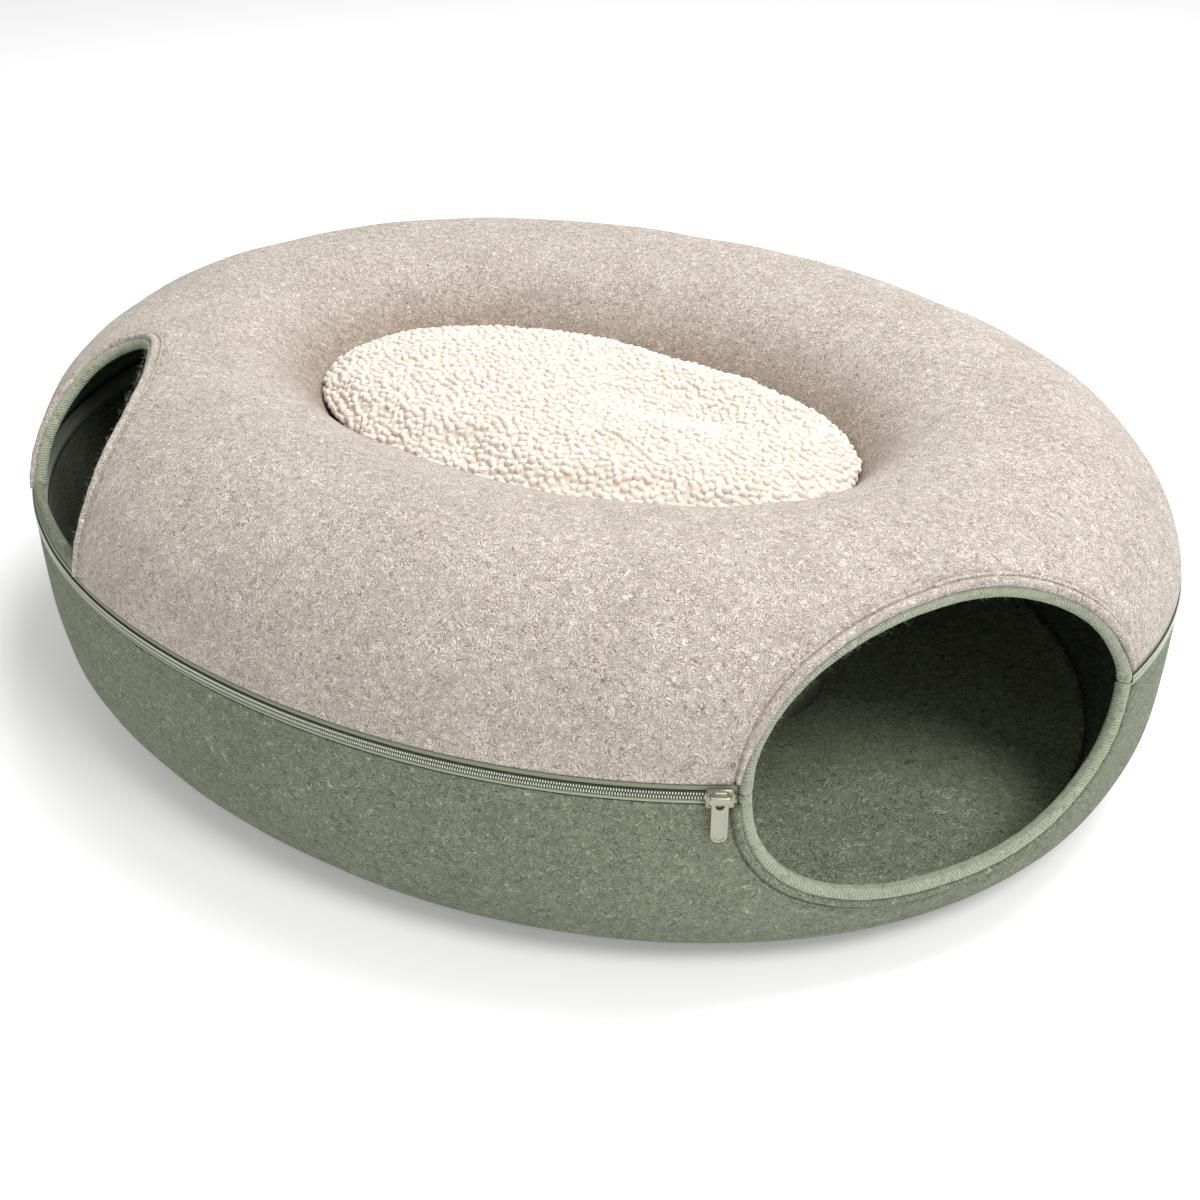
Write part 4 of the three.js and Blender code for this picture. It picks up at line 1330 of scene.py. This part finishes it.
def boucle_curls():
    """Curls of yarn over all of the cushion that shows, at even distances."""
    random = np.random.default_rng(7)
    mesh = cushion.data
    mesh.calc_loop_triangles()
    corners = np.array([vertex.co[:] for vertex in mesh.vertices])
    triangles = np.array([t.vertices[:] for t in mesh.loop_triangles])
    a, b, c = (corners[triangles[:, i]] for i in range(3))
    normal = np.cross(b - a, c - a)
    area = np.linalg.norm(normal, axis=1) / 2
    normal = unit(normal)
    centre = (a + b + c) / 3
    shown = (centre[:, 2] > CURLS_FROM) & (normal[:, 2] > -0.3)
    weight = np.where(shown, area, 0)
    tries = random.choice(len(triangles), size=CURLS_TRIED, p=weight / weight.sum())
    u, v = random.random((2, len(tries)))
    flip = u + v > 1
    u, v = np.where(flip, 1 - u, u), np.where(flip, 1 - v, v)
    spots = a[tries] + (b[tries] - a[tries]) * u[:, None] + (c[tries] - a[tries]) * v[:, None]
    cells, kept = {}, []
    for index, spot in enumerate(spots):
        i, j, k = (spot / CURL_SPACING).astype(int).tolist()
        cells_near = [
            cells.get((x, y, z), [])
            for x in (i - 1, i, i + 1)
            for y in (j - 1, j, j + 1)
            for z in (k - 1, k, k + 1)
        ]
        if all(np.linalg.norm(spots[o] - spot) >= CURL_SPACING for cell in cells_near for o in cell):
            cells.setdefault((i, j, k), []).append(index)
            kept.append(index)
    shapes = [curl(*kind) for kind in CURL_KINDS]
    curls = []
    for spot, way in zip(spots[kept], normal[tries[kept]]):
        shape = shapes[random.integers(len(shapes))]
        tilt = random.normal(0, 0.28, 3)
        up_way = unit(way + tilt * 0.8)
        side = unit(np.cross(up_way, random.normal(0, 1, 3)))
        ahead = np.cross(up_way, side)
        size = random.uniform(0.82, 1.18) * MM
        rise = random.uniform(-0.4, 0.35) * MM
        turned = shape[:, :1] * ahead + shape[:, 1:2] * side + shape[:, 2:] * up_way * 0.88
        curls.append(turned * size + spot + way * rise)
    return curls


all_curls = boucle_curls()
half = len(all_curls) // 2
curls = []
for name, part in (("boucle_curls_a", all_curls[:half]), ("boucle_curls_b", all_curls[half:])):
    faces = [face for number in range(len(part)) for face in curl_faces(number * len(part[0]))]
    curls.append(new_piece(name, np.vstack(part) / MM, faces, boucle))
    face_outwards(curls[-1])


# Places, and the solids that the pieces replace, which are hidden. The table also lists each piece's slot,
# which the code does not use.

for piece, nodes, slot in (
    (shell, ["upper_shell"], "beige_felt"),
    (lining, ["upper_lining"], "green_felt"),
    (bowl, ["lower_bowl"], "green_felt"),
    (floor_panel, ["floor_panel"], "green_felt"),
    (upper_tape, ["zip_tape_upper"], "green_tape"),
    (lower_tape, ["zip_tape_lower"], "green_tape"),
    (chain, ["zip_chain"], "pale_teeth"),
    (binding_upper, ["right_binding_upper"], "green_felt"),
    (binding_lower, ["right_binding_lower"], "green_felt"),
    (binding_left, ["left_binding"], "green_felt"),
    (sill, ["left_sill_strip"], "green_tape"),
    (slider, ["zip_slider"], "satin_metal"),
    (tab, ["pull_tab"], "satin_metal"),
    (cushion, ["well_cushion"], "boucle"),
    (curls[0], [], "boucle"),
    (curls[1], [], "boucle"),
    (arch_stitches, [], "beige_felt"),
    (green_stitches, [], "green_felt"),
    (mouth_fibres, [], "green_felt"),
):
    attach(piece, "root")
    if nodes:
        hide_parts(*nodes)


# Floor and light

bpy.ops.mesh.primitive_plane_add(size=12, location=(0, 0, -0.0004))
ground = bpy.context.active_object
ground.name = "studio_floor"
ground_material, _, ground_shader = new_material("studio floor")
for key, value in (
    ("Base Color", (0.96, 0.96, 0.96, 1)),
    ("Roughness", 0.9),
    ("Emission Color", (1, 1, 1, 1)),
    ("Emission Strength", 0.2),
):
    ground_shader.inputs[key].default_value = value
ground.data.materials.append(ground_material)

world = bpy.data.worlds.new("studio")
bpy.context.scene.world = world
world.use_nodes = True
world_nodes = Nodes(world.node_tree)
sky = world_nodes.add("ShaderNodeBackground", Color=(1, 1, 1, 1), Strength=0.5)
world_out = world_nodes.add("ShaderNodeOutputWorld")
world_nodes.set(world_out, "Surface", sky.outputs[0])

LAMPS_AIM = Vector((0, 0, 0.05))


def softbox(name, location, size, power):
    """A round lamp of a size in metres and a power in watts, turned towards the bed."""
    light = bpy.data.lights.new(name, "AREA")
    light.shape = "DISK"
    light.size = size
    light.energy = power
    lamp = bpy.data.objects.new(name, light)
    lamp.location = location
    lamp.rotation_mode = "QUATERNION"
    lamp.rotation_quaternion = (LAMPS_AIM - Vector(location)).to_track_quat("-Z", "Y")
    bpy.context.scene.collection.objects.link(lamp)


softbox("overhead", (0.2, 0.7, 1.8), 1.4, 33)
softbox("mouth_key", (1.15, -0.42, 1.45), 0.7, 14)
bpy.context.scene.view_settings.view_transform = "Standard"
